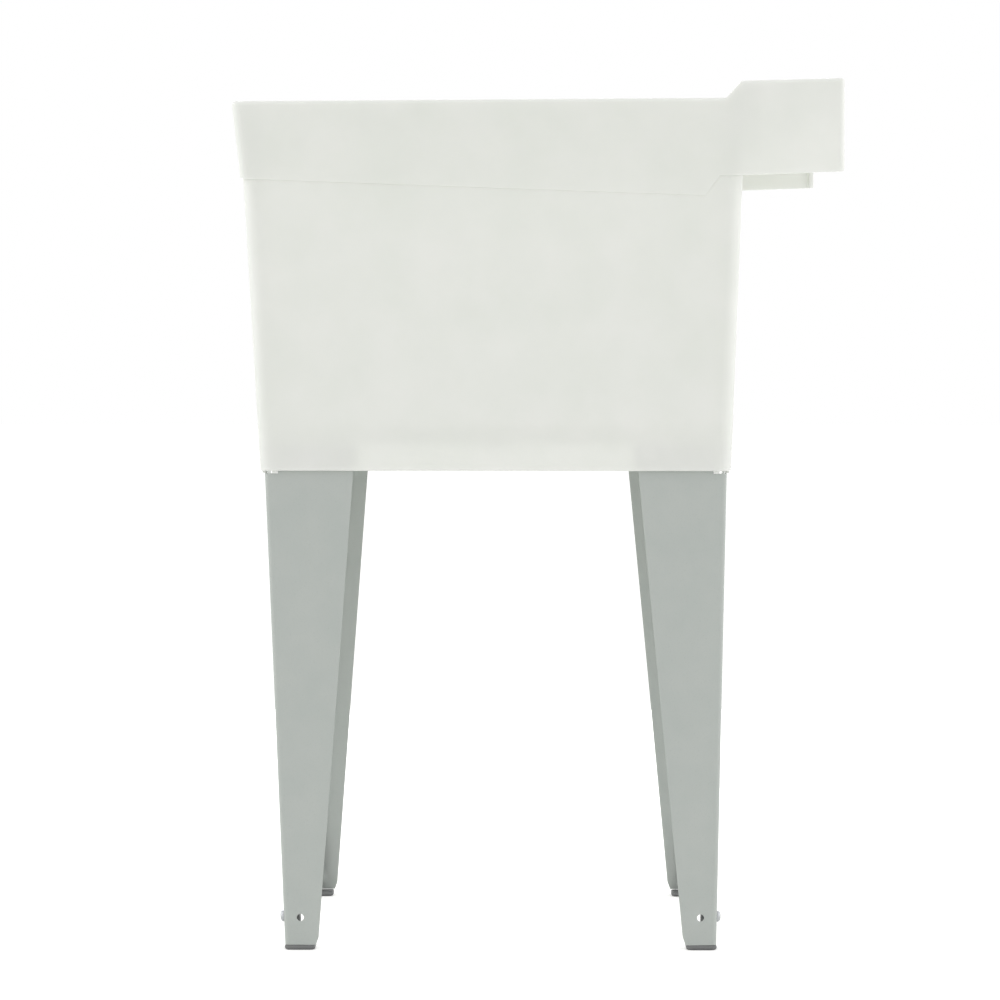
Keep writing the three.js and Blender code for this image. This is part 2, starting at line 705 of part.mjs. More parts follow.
/** L-shaped loop at height z, from an outer offset, a wall thickness and a flange width. */
function angleLoop(corner, z, offset, thickness, width) {
  const inner = offset + thickness;
  const outerRadius = Math.max(LEG_BEND_RADIUS - offset, LEAST_BEND_RADIUS);
  const innerRadius = Math.max(outerRadius - thickness, LEAST_BEND_RADIUS);
  const outerCentre = offset + outerRadius;
  const innerCentre = inner + innerRadius;
  const outerBend = bendPoints(outerCentre, outerRadius);
  const innerBend = bendPoints(innerCentre, innerRadius).reverse();
  const ends = [[offset, width], [inner, width]];
  const points = [[width, offset], ...outerBend, ...ends, ...innerBend, [width, inner]];
  return points.map(([a, b]) => legPoint(corner, a, b, z));
}

/** Block in leg distances: from (a, b, z) to (a, b, z), following the leg's lean. */
function legBlock(corner, low, high) {
  const loops = [low[2], high[2]].map((z) => [
    legPoint(corner, low[0], low[1], z),
    legPoint(corner, high[0], low[1], z),
    legPoint(corner, high[0], high[1], z),
    legPoint(corner, low[0], high[1], z),
  ]);
  return solidOf(loftOf(loops));
}

/** Triangular prism that takes the chamfer off one flange's inner bottom corner. */
function toeChamfer(corner, onSideFlange) {
  const width = LEG_FOOT_WIDTH;
  const plan = (a, b, z) => (onSideFlange ? legPoint(corner, b, a, z) : legPoint(corner, a, b, z));
  const loops = [
    [LEG_BOTTOM_Z - LAP, width - LEG_TOE_CHAMFER],
    [LEG_BOTTOM_Z + LEG_TOE_CHAMFER_HEIGHT, width + LAP],
  ].map(([z, start]) => [
    plan(start, -LAP, z),
    plan(width + PAST, -LAP, z),
    plan(width + PAST, LEG_SHEET + LAP, z),
    plan(start, LEG_SHEET + LAP, z),
  ]);
  return solidOf(loftOf(loops));
}

/** Bar along the sink's depth or width, through a flange at the hole's height. */
function flangeHole(corner, alongDepth) {
  const centre = legPoint(corner, LEG_FOOT_WIDTH / 2, 0, LEG_HOLE_HEIGHT);
  const across = legPoint(corner, 0, LEG_FOOT_WIDTH / 2, LEG_HOLE_HEIGHT);
  const length = LEG_FOOT_WIDTH / 2;
  const bar = new THREE.CylinderGeometry(LEG_HOLE_RADIUS, LEG_HOLE_RADIUS, length, SMALL_ROUND_STEPS);
  if (alongDepth) {
    return solidOf(placed(bar, centre.toArray(), 0));
  }
  return solidOf(placed(bar, across.toArray(), 0, Math.PI / 2));
}

/** One folded leg with its notched top, toe chamfers and foot holes. */
function legSolid(corner) {
  const heights = [LEG_BOTTOM_Z, LEG_TOP_Z];
  const loops = heights.map((z) => angleLoop(corner, z, 0, LEG_SHEET, legWidth(z)));
  const notchZ = SKIRT_BOTTOM_Z - LEG_NOTCH_DROP;
  return solidOf(loftOf(loops))
    .subtract(legBlock(corner, [-LAP, -LAP, notchZ], [LEG_NOTCH, LEG_NOTCH, LEG_TOP_Z + LAP]))
    .subtract(toeChamfer(corner, true))
    .subtract(toeChamfer(corner, false))
    .subtract(flangeHole(corner, true))
    .subtract(flangeHole(corner, false));
}

/** Walls moulded inside the skirt that hold one leg's two flanges, and its locating tabs. */
function legSocket(corner) {
  const lowZ = UNDERSIDE_Z - SOCKET_DEPTH;
  const highZ = UNDERSIDE_Z + LAP;
  const inner = LEG_SHEET + GAP;
  const width = legWidth(UNDERSIDE_Z);
  const loops = [lowZ, highZ].map((z) => angleLoop(corner, z, inner, SOCKET_WALL, width));
  const stop = width + GAP;
  const reach = -GAP - SKIRT_THICKNESS / 2;
  const back = inner + SOCKET_WALL;
  return [
    solidOf(loftOf(loops)),
    legBlock(corner, [stop, reach, lowZ], [stop + SOCKET_WALL, back, highZ]),
    legBlock(corner, [reach, stop, lowZ], [back, stop + SOCKET_WALL, highZ]),
    ...locatingTabs(corner),
  ];
}

/** Two small tabs on the skirt's inside that fill the leg's notch and show under the skirt's edge. */
function locatingTabs(corner) {
  const end = LEG_NOTCH - GAP;
  const start = end - LOCATING_TAB_WIDTH;
  const reach = -GAP - SKIRT_THICKNESS / 2;
  const lowZ = SKIRT_BOTTOM_Z - LEG_NOTCH_DROP + GAP;
  const highZ = UNDERSIDE_Z + LAP;
  return [
    legBlock(corner, [reach, start, lowZ], [LEG_SHEET, end, highZ]),
    legBlock(corner, [start, reach, lowZ], [end, LEG_SHEET, highZ]),
  ];
}

// ---------------------------------------------------------------------------
// Levelling feet and their fasteners
// ---------------------------------------------------------------------------

const STEM_START = LEG_SHEET + GAP;
const STEM_END = STEM_START + STEM_THICKNESS;
const SCREW_A = LEG_FOOT_WIDTH / 2;
const POCKET_START = STEM_END - NUT_POCKET_DEPTH;
const POCKET_RADIUS = WASHER_RADIUS + HOLE_CLEARANCE;
const WASHER_START = POCKET_START + GAP;
const NUT_START = WASHER_START + WASHER_THICKNESS + GAP;
const SCREW_LENGTH = NUT_START + NUT_HEIGHT + SCREW_END;

/** Foot pad: a rounded square that bulges a little over the floor. */
function footPad(corner) {
  const middle = FOOT_PAD_SIZE / 2;
  const levels = [
    [0, -FOOT_PAD_TUCK],
    [FOOT_PAD_TUCK_HEIGHT, 0],
    [FOOT_PAD_BULGE_HEIGHT, FOOT_PAD_PROUD],
    [FOOT_PAD_HEIGHT, 0],
  ];
  const centre = legPoint(corner, middle, middle, LEG_BOTTOM_Z);
  return solidOf(loftOf(levels.map(([z, proud]) => {
    const size = FOOT_PAD_SIZE + proud * 2;
    return roundedLoop(size, size, FOOT_PAD_RADIUS, centre.x, centre.y, z);
  })));
}

/**
 * Round-ended slot in the stem, square to the flange like the screw in it, from a depth to the stem's back.
 * The screw sits at its lower end when the foot is right up, and at its upper end when it is right down.
 */
function stemSlot(corner, radius, start) {
  const shape = new THREE.Shape();
  shape.absarc(0, FOOT_TRAVEL, radius, 0, Math.PI);
  shape.absarc(0, 0, radius, Math.PI, Math.PI * 2);
  const depth = STEM_END + PAST - start;
  const slot = new THREE.ExtrudeGeometry(shape, { depth, bevelEnabled: false, curveSegments: WIRE_STEPS });
  const hole = screwGroup(corner);
  hole.updateMatrix();
  return solidOf(placed(slot, [0, STEM_END + PAST, 0], Math.PI / 2).applyMatrix4(hole.matrix));
}

/** One levelling foot: pad and slotted stem, with a wider pocket behind the slot for the washer and the nut. */
function footSolid(corner) {
  const low = [SCREW_A - STEM_WIDTH / 2, STEM_START, FOOT_PAD_HEIGHT - LAP];
  const high = [SCREW_A + STEM_WIDTH / 2, STEM_END, STEM_HEIGHT];
  return footPad(corner)
    .add(legBlock(corner, low, high))
    .subtract(stemSlot(corner, SLOT_WIDTH / 2, -PAST))
    .subtract(stemSlot(corner, POCKET_RADIUS, POCKET_START));
}

/** Group that stands at a foot screw's hole, with +Y running into the leg along the screw. */
function screwGroup(corner) {
  const group = new THREE.Group();
  group.position.copy(legPoint(corner, SCREW_A, 0, LEG_HOLE_HEIGHT));
  const lean = Math.atan(corner.lean) * corner.end;
  group.rotation.set(-lean, 0, corner.end > 0 ? Math.PI : 0, 'XYZ');
  return group;
}

/** Pan-head screw along +Y, its head's seat at y = 0 less the clearance. */
function screwGeometry() {
  const seat = -GAP;
  const crown = seat - SCREW_HEAD_HEIGHT;
  const profile = [];
  for (let step = 0; step <= EDGE_STEPS; step += 1) {
    const angle = step / EDGE_STEPS * Math.PI / 2;
    const fall = (SCREW_HEAD_HEIGHT - SCREW_HEAD_EDGE) * (1 - Math.cos(angle));
    profile.push([SCREW_HEAD_RADIUS * Math.sin(angle), crown + fall]);
  }
  profile.push(
    [SCREW_HEAD_RADIUS, seat],
    [SCREW_RADIUS, seat],
    [SCREW_RADIUS, SCREW_LENGTH - SCREW_END_CHAMFER],
    [SCREW_RADIUS - SCREW_END_CHAMFER, SCREW_LENGTH],
    [0, SCREW_LENGTH],
  );
  const outline = profile.map(([radius, y]) => new THREE.Vector2(radius, y));
  const body = solidOf(new THREE.LatheGeometry(outline, SMALL_ROUND_STEPS));
  const recess = new THREE.BoxGeometry(SCREW_RECESS_SPAN, SCREW_RECESS_DEPTH * 2, SCREW_RECESS_WIDTH);
  const across = new THREE.BoxGeometry(SCREW_RECESS_WIDTH, SCREW_RECESS_DEPTH * 2, SCREW_RECESS_SPAN);
  return geometryOf(body
    .subtract(solidOf(placed(recess, [0, crown, 0])))
    .subtract(solidOf(placed(across, [0, crown, 0]))));
}

/** Flat ring or hexagon along +Y between two distances. */
function ringGeometry(outer, sides, start, thickness, bore) {
  const body = new THREE.CylinderGeometry(outer, outer, thickness, sides);
  const hole = new THREE.CylinderGeometry(bore, bore, thickness + PAST, SMALL_ROUND_STEPS);
  const middle = [0, start + thickness / 2, 0];
  return geometryOf(solidOf(placed(body, middle)).subtract(solidOf(placed(hole, middle))));
}

// ---------------------------------------------------------------------------
// Drain and stopper
// ---------------------------------------------------------------------------

const BOSS_Z = UNDERSIDE_Z - DRAIN_BOSS_HEIGHT;
const FLANGE_TOP_Z = BOWL_BOTTOM_Z + GAP;
const DRAIN_END_Z = FLANGE_TOP_Z - DRAIN_LENGTH;
const GASKET_TOP_Z = BOSS_Z - GAP;
const FRICTION_TOP_Z = GASKET_TOP_Z - GASKET_THICKNESS - GAP;
const LOCKNUT_TOP_Z = FRICTION_TOP_Z - FRICTION_WASHER_THICKNESS - GAP;
const THROAT_RADIUS = DRAIN_TUBE_RADIUS - DRAIN_WALL;
const SEAT_RADIUS = DRAIN_TUBE_RADIUS - DRAIN_SEAT_LIP;
const STOPPER_TOP_Z = FLANGE_TOP_Z + GAP + STOPPER_CAP_THICKNESS;
const EYE_FOOT_Z = STOPPER_TOP_Z + GAP;
const EYE_CENTRE_Z = EYE_FOOT_Z + EYE_FOOT_THICKNESS + EYE_RADIUS;

/** Flanged drain body with a tapered seat and a strainer cross low in its throat. */
function drainBodySolid() {
  const underFlange = FLANGE_TOP_Z - DRAIN_FLANGE_THICKNESS;
  const body = turned([
    [THROAT_RADIUS, DRAIN_END_Z],
    [DRAIN_TUBE_RADIUS, DRAIN_END_Z],
    [DRAIN_TUBE_RADIUS, underFlange],
    [DRAIN_FLANGE_RADIUS, underFlange],
    [DRAIN_FLANGE_RADIUS, underFlange + DRAIN_FLANGE_EDGE],
    [DRAIN_FLANGE_RADIUS - DRAIN_FLANGE_BEVEL, FLANGE_TOP_Z],
    [SEAT_RADIUS, FLANGE_TOP_Z],
    [THROAT_RADIUS, FLANGE_TOP_Z - DRAIN_SEAT_DEPTH],
    [THROAT_RADIUS, DRAIN_END_Z],
  ], 0, DRAIN_Y);
  const half = STRAINER_BAR / 2;
  const reach = DRAIN_TUBE_RADIUS - DRAIN_WALL / 2;
  const low = DRAIN_END_Z + STRAINER_RAISE;
  const high = low + STRAINER_BAR;
  return body
    .add(block([-reach, DRAIN_Y - half, low], [reach, DRAIN_Y + half, high]))
    .add(block([-half, DRAIN_Y - reach, low], [half, DRAIN_Y + reach, high]));
}

/** Flat ring round the drain tube, hanging down from a height. */
function drainRing(outer, topZAt, thickness) {
  const bore = DRAIN_TUBE_RADIUS + GAP;
  return turned([
    [bore, topZAt - thickness],
    [outer, topZAt - thickness],
    [outer, topZAt],
    [bore, topZAt],
    [bore, topZAt - thickness],
  ], 0, DRAIN_Y);
}

/** Locknut: a flanged ring with gripping lugs. */
function locknutSolid() {
  const collar = DRAIN_TUBE_RADIUS + LOCKNUT_WALL;
  const start = collar - LAP;
  const middleZ = LOCKNUT_TOP_Z - LOCKNUT_HEIGHT / 2;
  const flange = drainRing(LOCKNUT_RADIUS, LOCKNUT_TOP_Z, LOCKNUT_FLANGE_HEIGHT);
  let nut = drainRing(collar, LOCKNUT_TOP_Z, LOCKNUT_HEIGHT).add(flange);
  for (let lug = 0; lug < LOCKNUT_LUGS; lug += 1) {
    const bar = new THREE.BoxGeometry(LOCKNUT_RADIUS - start, LOCKNUT_LUG_WIDTH, LOCKNUT_HEIGHT);
    bar.translate((LOCKNUT_RADIUS + start) / 2, 0, 0);
    nut = nut.add(solidOf(placed(bar, [0, DRAIN_Y, middleZ], 0, lug / LOCKNUT_LUGS * Math.PI * 2)));
  }
  return nut;
}

/** Rubber plug that fills the tapered seat, with a cap that rests on the flange. */
function stopperSolid() {
  const capZ = FLANGE_TOP_Z + GAP;
  const taper = (SEAT_RADIUS - THROAT_RADIUS) / DRAIN_SEAT_DEPTH;
  const plugTop = SEAT_RADIUS - GAP * 2;
  const plugZ = capZ - STOPPER_PLUG_DEPTH;
  const plugRadius = plugTop - taper * STOPPER_PLUG_DEPTH;
  return turned([
    [0, plugZ],
    [plugRadius - STOPPER_PLUG_CHAMFER, plugZ],
    [plugRadius + taper * STOPPER_PLUG_CHAMFER, plugZ + STOPPER_PLUG_CHAMFER],
    [plugTop, capZ],
    [STOPPER_CAP_RADIUS, capZ],
    [STOPPER_CAP_RADIUS, STOPPER_TOP_Z - STOPPER_EDGE],
    [STOPPER_CAP_RADIUS - STOPPER_EDGE, STOPPER_TOP_Z],
    [0, STOPPER_TOP_Z],
  ], 0, DRAIN_Y);
}

/** Steel eye on a small round foot; its hole runs along the sink's width. */
function eyeSolid() {
  const footTopZ = EYE_FOOT_Z + EYE_FOOT_THICKNESS;
  const foot = roundBar(EYE_FOOT_RADIUS, 0, DRAIN_Y, EYE_FOOT_Z, footTopZ, SMALL_ROUND_STEPS);
  const loop = new THREE.TorusGeometry(EYE_RADIUS, EYE_WIRE, WIRE_STEPS, SMALL_ROUND_STEPS);
  loop.rotateY(Math.PI / 2);
  return foot.add(solidOf(placed(loop, [0, DRAIN_Y, EYE_CENTRE_Z])));
}

/** Pull ring lying on the stopper, its wire through the eye. */
function ringSolid() {
  const loop = new THREE.TorusGeometry(RING_RADIUS, RING_WIRE, WIRE_STEPS, ROUND_STEPS);
  const drop = EYE_CENTRE_Z - STOPPER_TOP_Z - RING_WIRE - GAP;
  const tilt = Math.asin(drop / (RING_RADIUS * 2));
  loop.translate(0, -RING_RADIUS, 0);
  loop.rotateX(tilt);
  return solidOf(placed(loop, [0, DRAIN_Y, EYE_CENTRE_Z]));
}

// ---------------------------------------------------------------------------
// Materials and assembly
// ---------------------------------------------------------------------------

const MATERIALS = {
  whitePlastic: { color: 0xe6e8e3, roughness: 0.45, metalness: 0 },
  greySteel: { color: 0xb4b9b5, roughness: 0.5, metalness: 0.1 },
  darkPlastic: { color: 0x6f7070, roughness: 0.6, metalness: 0 },
  zinc: { color: 0xc4c6c8, roughness: 0.35, metalness: 1 },
  drainPlastic: { color: 0xe9e9e6, roughness: 0.35, metalness: 0 },
  rubber: { color: 0x1e1e1e, roughness: 0.8, metalness: 0 },
  fibre: { color: 0x8a2a20, roughness: 0.9, metalness: 0 },
};

/** Named mesh with a material of its own. */
function part(name, geometry, materialName) {
  const flat = geometry.index ? geometry.toNonIndexed() : geometry;
  flat.computeVertexNormals();
  const mesh = new THREE.Mesh(flat, new THREE.MeshStandardMaterial(MATERIALS[materialName]));
  mesh.name = name;
  return mesh;
}

/** Named mesh of a manifold solid. */
function solidPart(name, solid, materialName) {
  return part(name, geometryOf(solid), materialName);
}

/** One leg with its foot and the foot's fasteners. */
function legAssembly(corner) {
  const group = new THREE.Group();
  group.add(solidPart(`leg_${corner.name}`, legSolid(corner), 'greySteel'));
  group.add(solidPart(`foot_${corner.name}`, footSolid(corner), 'darkPlastic'));
  const fasteners = screwGroup(corner);
  const bore = SCREW_RADIUS + GAP;
  const nutRadius = NUT_ACROSS_FLATS / 2 / Math.cos(Math.PI / NUT_SIDES);
  fasteners.add(part(`foot_screw_${corner.name}`, screwGeometry(), 'zinc'));
  const washer = ringGeometry(WASHER_RADIUS, SMALL_ROUND_STEPS, WASHER_START, WASHER_THICKNESS, bore);
  const nut = ringGeometry(nutRadius, NUT_SIDES, NUT_START, NUT_HEIGHT, bore);
  fasteners.add(part(`foot_washer_${corner.name}`, washer, 'zinc'));
  fasteners.add(part(`foot_nut_${corner.name}`, nut, 'zinc'));
  group.add(fasteners);
  return group;
}

/** Drain fittings and the stopper. */
function drainAssembly() {
  const group = new THREE.Group();
  const gasket = drainRing(DRAIN_FLANGE_RADIUS, GASKET_TOP_Z, GASKET_THICKNESS);
  const friction = drainRing(LOCKNUT_RADIUS, FRICTION_TOP_Z, FRICTION_WASHER_THICKNESS);
  group.add(solidPart('drain_body', drainBodySolid(), 'drainPlastic'));
  group.add(solidPart('drain_gasket', gasket, 'rubber'));
  group.add(solidPart('drain_washer', friction, 'fibre'));
  group.add(solidPart('drain_locknut', locknutSolid(), 'drainPlastic'));
  group.add(solidPart('drain_stopper', stopperSolid(), 'rubber'));
  group.add(solidPart('stopper_eye', eyeSolid(), 'zinc'));
  group.add(solidPart('stopper_ring', ringSolid(), 'zinc'));
  return group;
}

const sink = new THREE.Group();
sink.name = 'utility_laundry_sink';
sink.add(solidPart('tub', tubSolid(), 'whitePlastic'));
for (const corner of CORNERS) {
  sink.add(legAssembly(corner));
}
sink.add(drainAssembly());

export default sink;
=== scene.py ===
"""Looks of a utility laundry sink: a moulded plastic tub on four folded steel legs with levelling feet.

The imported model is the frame. Each sub-assembly is modelled round it with Blender's own operators,
in metres: +Z up, the front of the sink at -Y, its raised back ledge at +Y, the user's right at +X.
"""

import json
import logging
import math
from contextlib import contextmanager
from dataclasses import dataclass
from enum import Enum
from typing import Callable, Iterable, Iterator

import bmesh
import bpy
from mathutils import Matrix, Vector

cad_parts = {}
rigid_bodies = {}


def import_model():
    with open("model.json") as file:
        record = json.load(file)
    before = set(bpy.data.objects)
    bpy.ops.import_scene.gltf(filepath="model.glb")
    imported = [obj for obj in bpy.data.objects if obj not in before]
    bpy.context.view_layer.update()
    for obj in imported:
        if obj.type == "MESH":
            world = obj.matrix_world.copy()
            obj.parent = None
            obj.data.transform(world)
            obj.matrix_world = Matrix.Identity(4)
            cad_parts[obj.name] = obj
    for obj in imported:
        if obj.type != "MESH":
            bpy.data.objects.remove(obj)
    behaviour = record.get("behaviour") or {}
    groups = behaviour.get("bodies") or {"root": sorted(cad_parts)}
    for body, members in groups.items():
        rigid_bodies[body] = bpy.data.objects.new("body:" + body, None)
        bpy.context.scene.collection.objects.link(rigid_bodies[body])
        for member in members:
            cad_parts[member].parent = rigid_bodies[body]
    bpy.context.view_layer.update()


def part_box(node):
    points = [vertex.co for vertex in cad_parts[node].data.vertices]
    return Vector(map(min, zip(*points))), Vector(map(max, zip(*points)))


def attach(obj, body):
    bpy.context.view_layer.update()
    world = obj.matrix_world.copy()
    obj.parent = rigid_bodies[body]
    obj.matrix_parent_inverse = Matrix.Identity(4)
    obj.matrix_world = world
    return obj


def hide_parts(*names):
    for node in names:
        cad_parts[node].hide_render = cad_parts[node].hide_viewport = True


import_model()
LOG = logging.getLogger("laundry_sink")

Piece = bpy.types.Object
Edge = bmesh.types.BMEdge
Tree = bpy.types.NodeTree
Socket = bpy.types.NodeSocket
Points = list[tuple[float, float]]

MM = 0.001
# Points closer than TINY are taken for the same place, and points closer than MERGE are made one.
TINY = 1e-5
MERGE = 0.002 * MM
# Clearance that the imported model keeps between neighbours.
GAP = 0.3 * MM
# Z of a face's normal past which the face looks up, and past which it lies level.
LOOKS_UP = 0.5
LIES_LEVEL = 0.9
# Share of an edge's length that rises, past which the edge stands upright.
STANDS_UP = 0.8
X_AXIS, Y_AXIS = 0, 1
ROOT_BODY = "tub_and_legs"


# ---------------------------------------------------------------------------
# Workbench: the modelling steps that every sub-assembly shares
# ---------------------------------------------------------------------------


class Kind(Enum):
    """What a selection in edit mode is made of."""

    POINT = "VERT"
    EDGE = "EDGE"
    FACE = "FACE"


class Combine(Enum):
    """How one solid meets another."""

    JOIN = "UNION"
    CUT = "DIFFERENCE"
    KEEP = "INTERSECT"


def deselect_all() -> None:
    """Clears the selection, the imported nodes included."""
    for item in bpy.context.view_layer.objects:
        item.select_set(False)


def make_active(piece: Piece) -> None:
    """Selects one object alone and makes it the active one.

    Args:
        piece: The object to work on.
    """
    deselect_all()
    piece.select_set(True)
    bpy.context.view_layer.objects.active = piece


@contextmanager
def editing(piece: Piece) -> Iterator[None]:
    """Opens edit mode on a piece for the length of a with block.

    Args:
        piece: The object to edit.
    """
    make_active(piece)
    bpy.ops.object.mode_set(mode="EDIT")
    yield
    bpy.ops.object.mode_set(mode="OBJECT")


def pick(piece: Piece, kind: Kind, test: Callable) -> int:
    """Selects the points, edges or faces that pass a test, in edit mode.

    Args:
        piece: The object in edit mode.
        kind: What is selected.
        test: Takes a point, edge or face and says whether it is selected.

    Returns:
        The number of items selected.
    """
    bpy.ops.mesh.select_mode(type=kind.value)
    bpy.ops.mesh.select_all(action="DESELECT")
    mesh = bmesh.from_edit_mesh(piece.data)
    items = {Kind.POINT: mesh.verts, Kind.EDGE: mesh.edges, Kind.FACE: mesh.faces}[kind]
    chosen = [item for item in items if test(item)]
    for item in chosen:
        item.select_set(True)
    mesh.select_flush_mode()
    bmesh.update_edit_mesh(piece.data)
    return len(chosen)


def settle(piece: Piece) -> Piece:
    """Puts an object's place, turn and size into its mesh, so that it sits at the origin.

    Args:
        piece: The object to settle.

    Returns:
        The same object.
    """
    make_active(piece)
    bpy.ops.object.transform_apply(location=True, rotation=True, scale=True)
    return piece


def start_box(name: str, low: Iterable[float], high: Iterable[float]) -> Piece:
    """Adds a box between two corners as the start of a piece.

    Args:
        name: The piece's name.
        low: The lowest corner.
        high: The highest corner.

    Returns:
        The new object.
    """
    low, high = Vector(low), Vector(high)
    deselect_all()
    bpy.ops.mesh.primitive_cube_add(size=1, location=(low + high) / 2, scale=high - low)
    piece = bpy.context.active_object
    piece.name = name
    return settle(piece)


def start_bar(
    name: str, radius: float, foot: Vector, axis: Vector, length: float, sides: int = 48,
) -> Piece:
    """Adds a round or many-sided bar that starts at a point and runs along an axis.

    Args:
        name: The piece's name.
        radius: Radius to its corners.
        foot: Centre of its first end.
        axis: Direction that it runs in.
        length: Its length.
        sides: Number of sides.

    Returns:
        The new object.
    """
    axis = Vector(axis).normalized()
    deselect_all()
    bpy.ops.mesh.primitive_cylinder_add(vertices=sides, radius=radius, depth=length)
    piece = bpy.context.active_object
    piece.name = name
    turn = Vector((0, 0, 1)).rotation_difference(axis).to_matrix().to_4x4()
    piece.matrix_world = Matrix.Translation(Vector(foot) + axis * (length / 2)) @ turn
    return settle(piece)


def turned_piece(name: str, profile: Points, centre: Vector, steps: int = 64) -> Piece:
    """Spins a profile of (radius, height) points about an upright axis.

    The profile is drawn as a chain of extruded points. It starts and ends on the axis or closes on itself.

    Args:
        name: The piece's name.
        profile: The points, from one end to the other.
        centre: A point on the axis. The profile's heights count from it.
        steps: Steps in the full turn.

    Returns:
        The new object.
    """
    deselect_all()
    bpy.ops.mesh.primitive_plane_add(size=MM)
    piece = bpy.context.active_object
    piece.name = name
    with editing(piece):
        bpy.ops.mesh.select_mode(type=Kind.POINT.value)
        bpy.ops.mesh.select_all(action="SELECT")
        bpy.ops.mesh.merge(type="CENTER")
        first = Vector((profile[0][0], 0, profile[0][1])) + centre
        bpy.ops.transform.translate(value=first)
        for (radius, height), (next_radius, next_height) in zip(profile, profile[1:]):
            step = (next_radius - radius, 0, next_height - height)
            bpy.ops.mesh.extrude_vertices_move(TRANSFORM_OT_translate={"value": step})
        bpy.ops.mesh.select_all(action="SELECT")
        bpy.ops.mesh.spin(steps=steps, angle=math.tau, center=centre, axis=(0, 0, 1))
        close_up()
    return settle(piece)


def close_up() -> None:
    """Merges doubled points and turns all faces outwards, in edit mode."""
    bpy.ops.mesh.select_all(action="SELECT")
    bpy.ops.mesh.remove_doubles(threshold=MERGE)
    bpy.ops.mesh.dissolve_degenerate(threshold=MERGE)
    bpy.ops.mesh.normals_make_consistent(inside=False)


def quarter_turn(steps: int) -> list[float]:
    """Returns the angles from 0 to a quarter turn, in equal steps."""
    return [step / steps * math.pi / 2 for step in range(steps + 1)]


def ring_profile(bore: float, rim: float, low: float, high: float, edge: float) -> Points:
    """Draws the closed profile of a flat ring with broken edges.

    Args:
        bore: Its inner radius.
        rim: Its outer radius.
        low: Height of its underside.
        high: Height of its top.
        edge: Width of the broken edges.

    Returns:
        The (radius, height) points.
    """
    return [
        (bore, low + edge), (bore + edge, low), (rim - edge, low), (rim, low + edge), (rim, high - edge),
        (rim - edge, high), (bore + edge, high), (bore, high - edge), (bore, low + edge),
    ]


def round_edges(piece: Piece, test: Callable, radius: float, segments: int) -> None:
    """Rounds the edges that pass a test.

    Args:
        piece: The object to work on.
        test: Takes an edge and says whether it is rounded.
        radius: Radius on a square edge.
        segments: Facets across the round.
    """
    with editing(piece):
        count = pick(piece, Kind.EDGE, test)
        if not count:
            raise ValueError(f"no edge of {piece.name} was picked to be rounded")
        bpy.ops.mesh.bevel(offset=radius, offset_type="OFFSET", segments=segments, affect="EDGES")
        close_up()


def apply_modifiers(piece: Piece) -> None:
    """Applies a piece's modifiers in their order.

    Args:
        piece: The object to work on.
    """
    make_active(piece)
    for modifier in list(piece.modifiers):
        bpy.ops.object.modifier_apply(modifier=modifier.name)


def combine(piece: Piece, tool: Piece, how: Combine) -> None:
    """Joins a solid to a piece or cuts it away, and removes the solid.

    Args:
        piece: The object that is kept.
        tool: The solid that is joined or cut away.
        how: The operation.
    """
    modifier = piece.modifiers.new("Combine", "BOOLEAN")
    modifier.operation = how.value
    modifier.solver = "EXACT"
    modifier.object = tool
    apply_modifiers(piece)
    bpy.data.objects.remove(tool, do_unlink=True)


def soften(piece: Piece, radius: float, segments: int = 2, angle: float = 40) -> None:
    """Breaks every edge sharper than an angle by a small round.

    Args:
        piece: The object to work on.
        radius: Width of the broken edge.
        segments: Facets across it.
        angle: Edges that turn by more than this, in degrees, are broken.
    """
    modifier = piece.modifiers.new("Soften", "BEVEL")
    modifier.width = radius
    modifier.segments = segments
    modifier.limit_method = "ANGLE"
    modifier.angle_limit = math.radians(angle)
    modifier.miter_outer = "MITER_ARC"
    apply_modifiers(piece)


def smooth(piece: Piece, angle: float = 35) -> None:
    """Shades a piece smooth between its sharp edges, with its flat faces kept flat.

    Args:
        piece: The object to work on.
        angle: Edges that turn by more than this, in degrees, stay sharp.
    """
    make_active(piece)
    bpy.ops.object.shade_smooth_by_angle(angle=math.radians(angle))
    modifier = piece.modifiers.new("Level", "WEIGHTED_NORMAL")
    modifier.keep_sharp = True
    apply_modifiers(piece)


def copied(piece: Piece, name: str) -> Piece:
    """Copies a piece with a mesh of its own.

    Args:
        piece: The object to copy.
        name: The copy's name.

    Returns:
        The copy.
    """
    copy = bpy.data.objects.new(name, piece.data.copy())
    bpy.context.scene.collection.objects.link(copy)
    return copy


def mirrored(piece: Piece, name: str) -> Piece:
    """Copies a piece to the other side of the sink's middle plane.

    Args:
        piece: The object to copy.
        name: The copy's name.

    Returns:
        The copy, with a mesh of its own.
    """
    copy = copied(piece, name)
    make_active(copy)
    bpy.ops.transform.resize(value=(-1, 1, 1), center_override=(0, 0, 0))
    settle(copy)
    with editing(copy):
        bpy.ops.mesh.select_all(action="SELECT")
        bpy.ops.mesh.normals_make_consistent(inside=False)
    return copy


def moved(piece: Piece, place: Matrix) -> Piece:
    """Moves and turns a piece as a whole, and puts that into its mesh.

    Args:
        piece: The object to move.
        place: Where its origin goes and how it is turned.

    Returns:
        The same object.
    """
    piece.matrix_world = place @ piece.matrix_world
    return settle(piece)


def edge_ends(edge: Edge) -> tuple[Vector, Vector]:
    """Returns the two end points of an edge."""
    return edge.verts[0].co, edge.verts[1].co


def is_between(edge: Edge, upward: bool = True) -> bool:
    """Says whether an edge lies between a face that looks up (or down) and one that looks sideways.

    Args:
        edge: The edge.
        upward: Look for a face that looks up, not down.

    Returns:
        True if one face looks that way and the other doesn't.
    """
    if len(edge.link_faces) != 2:
        return False
    sign = 1 if upward else -1
    lower, upper = sorted(face.normal.z * sign for face in edge.link_faces)
    return lower < LOOKS_UP < upper


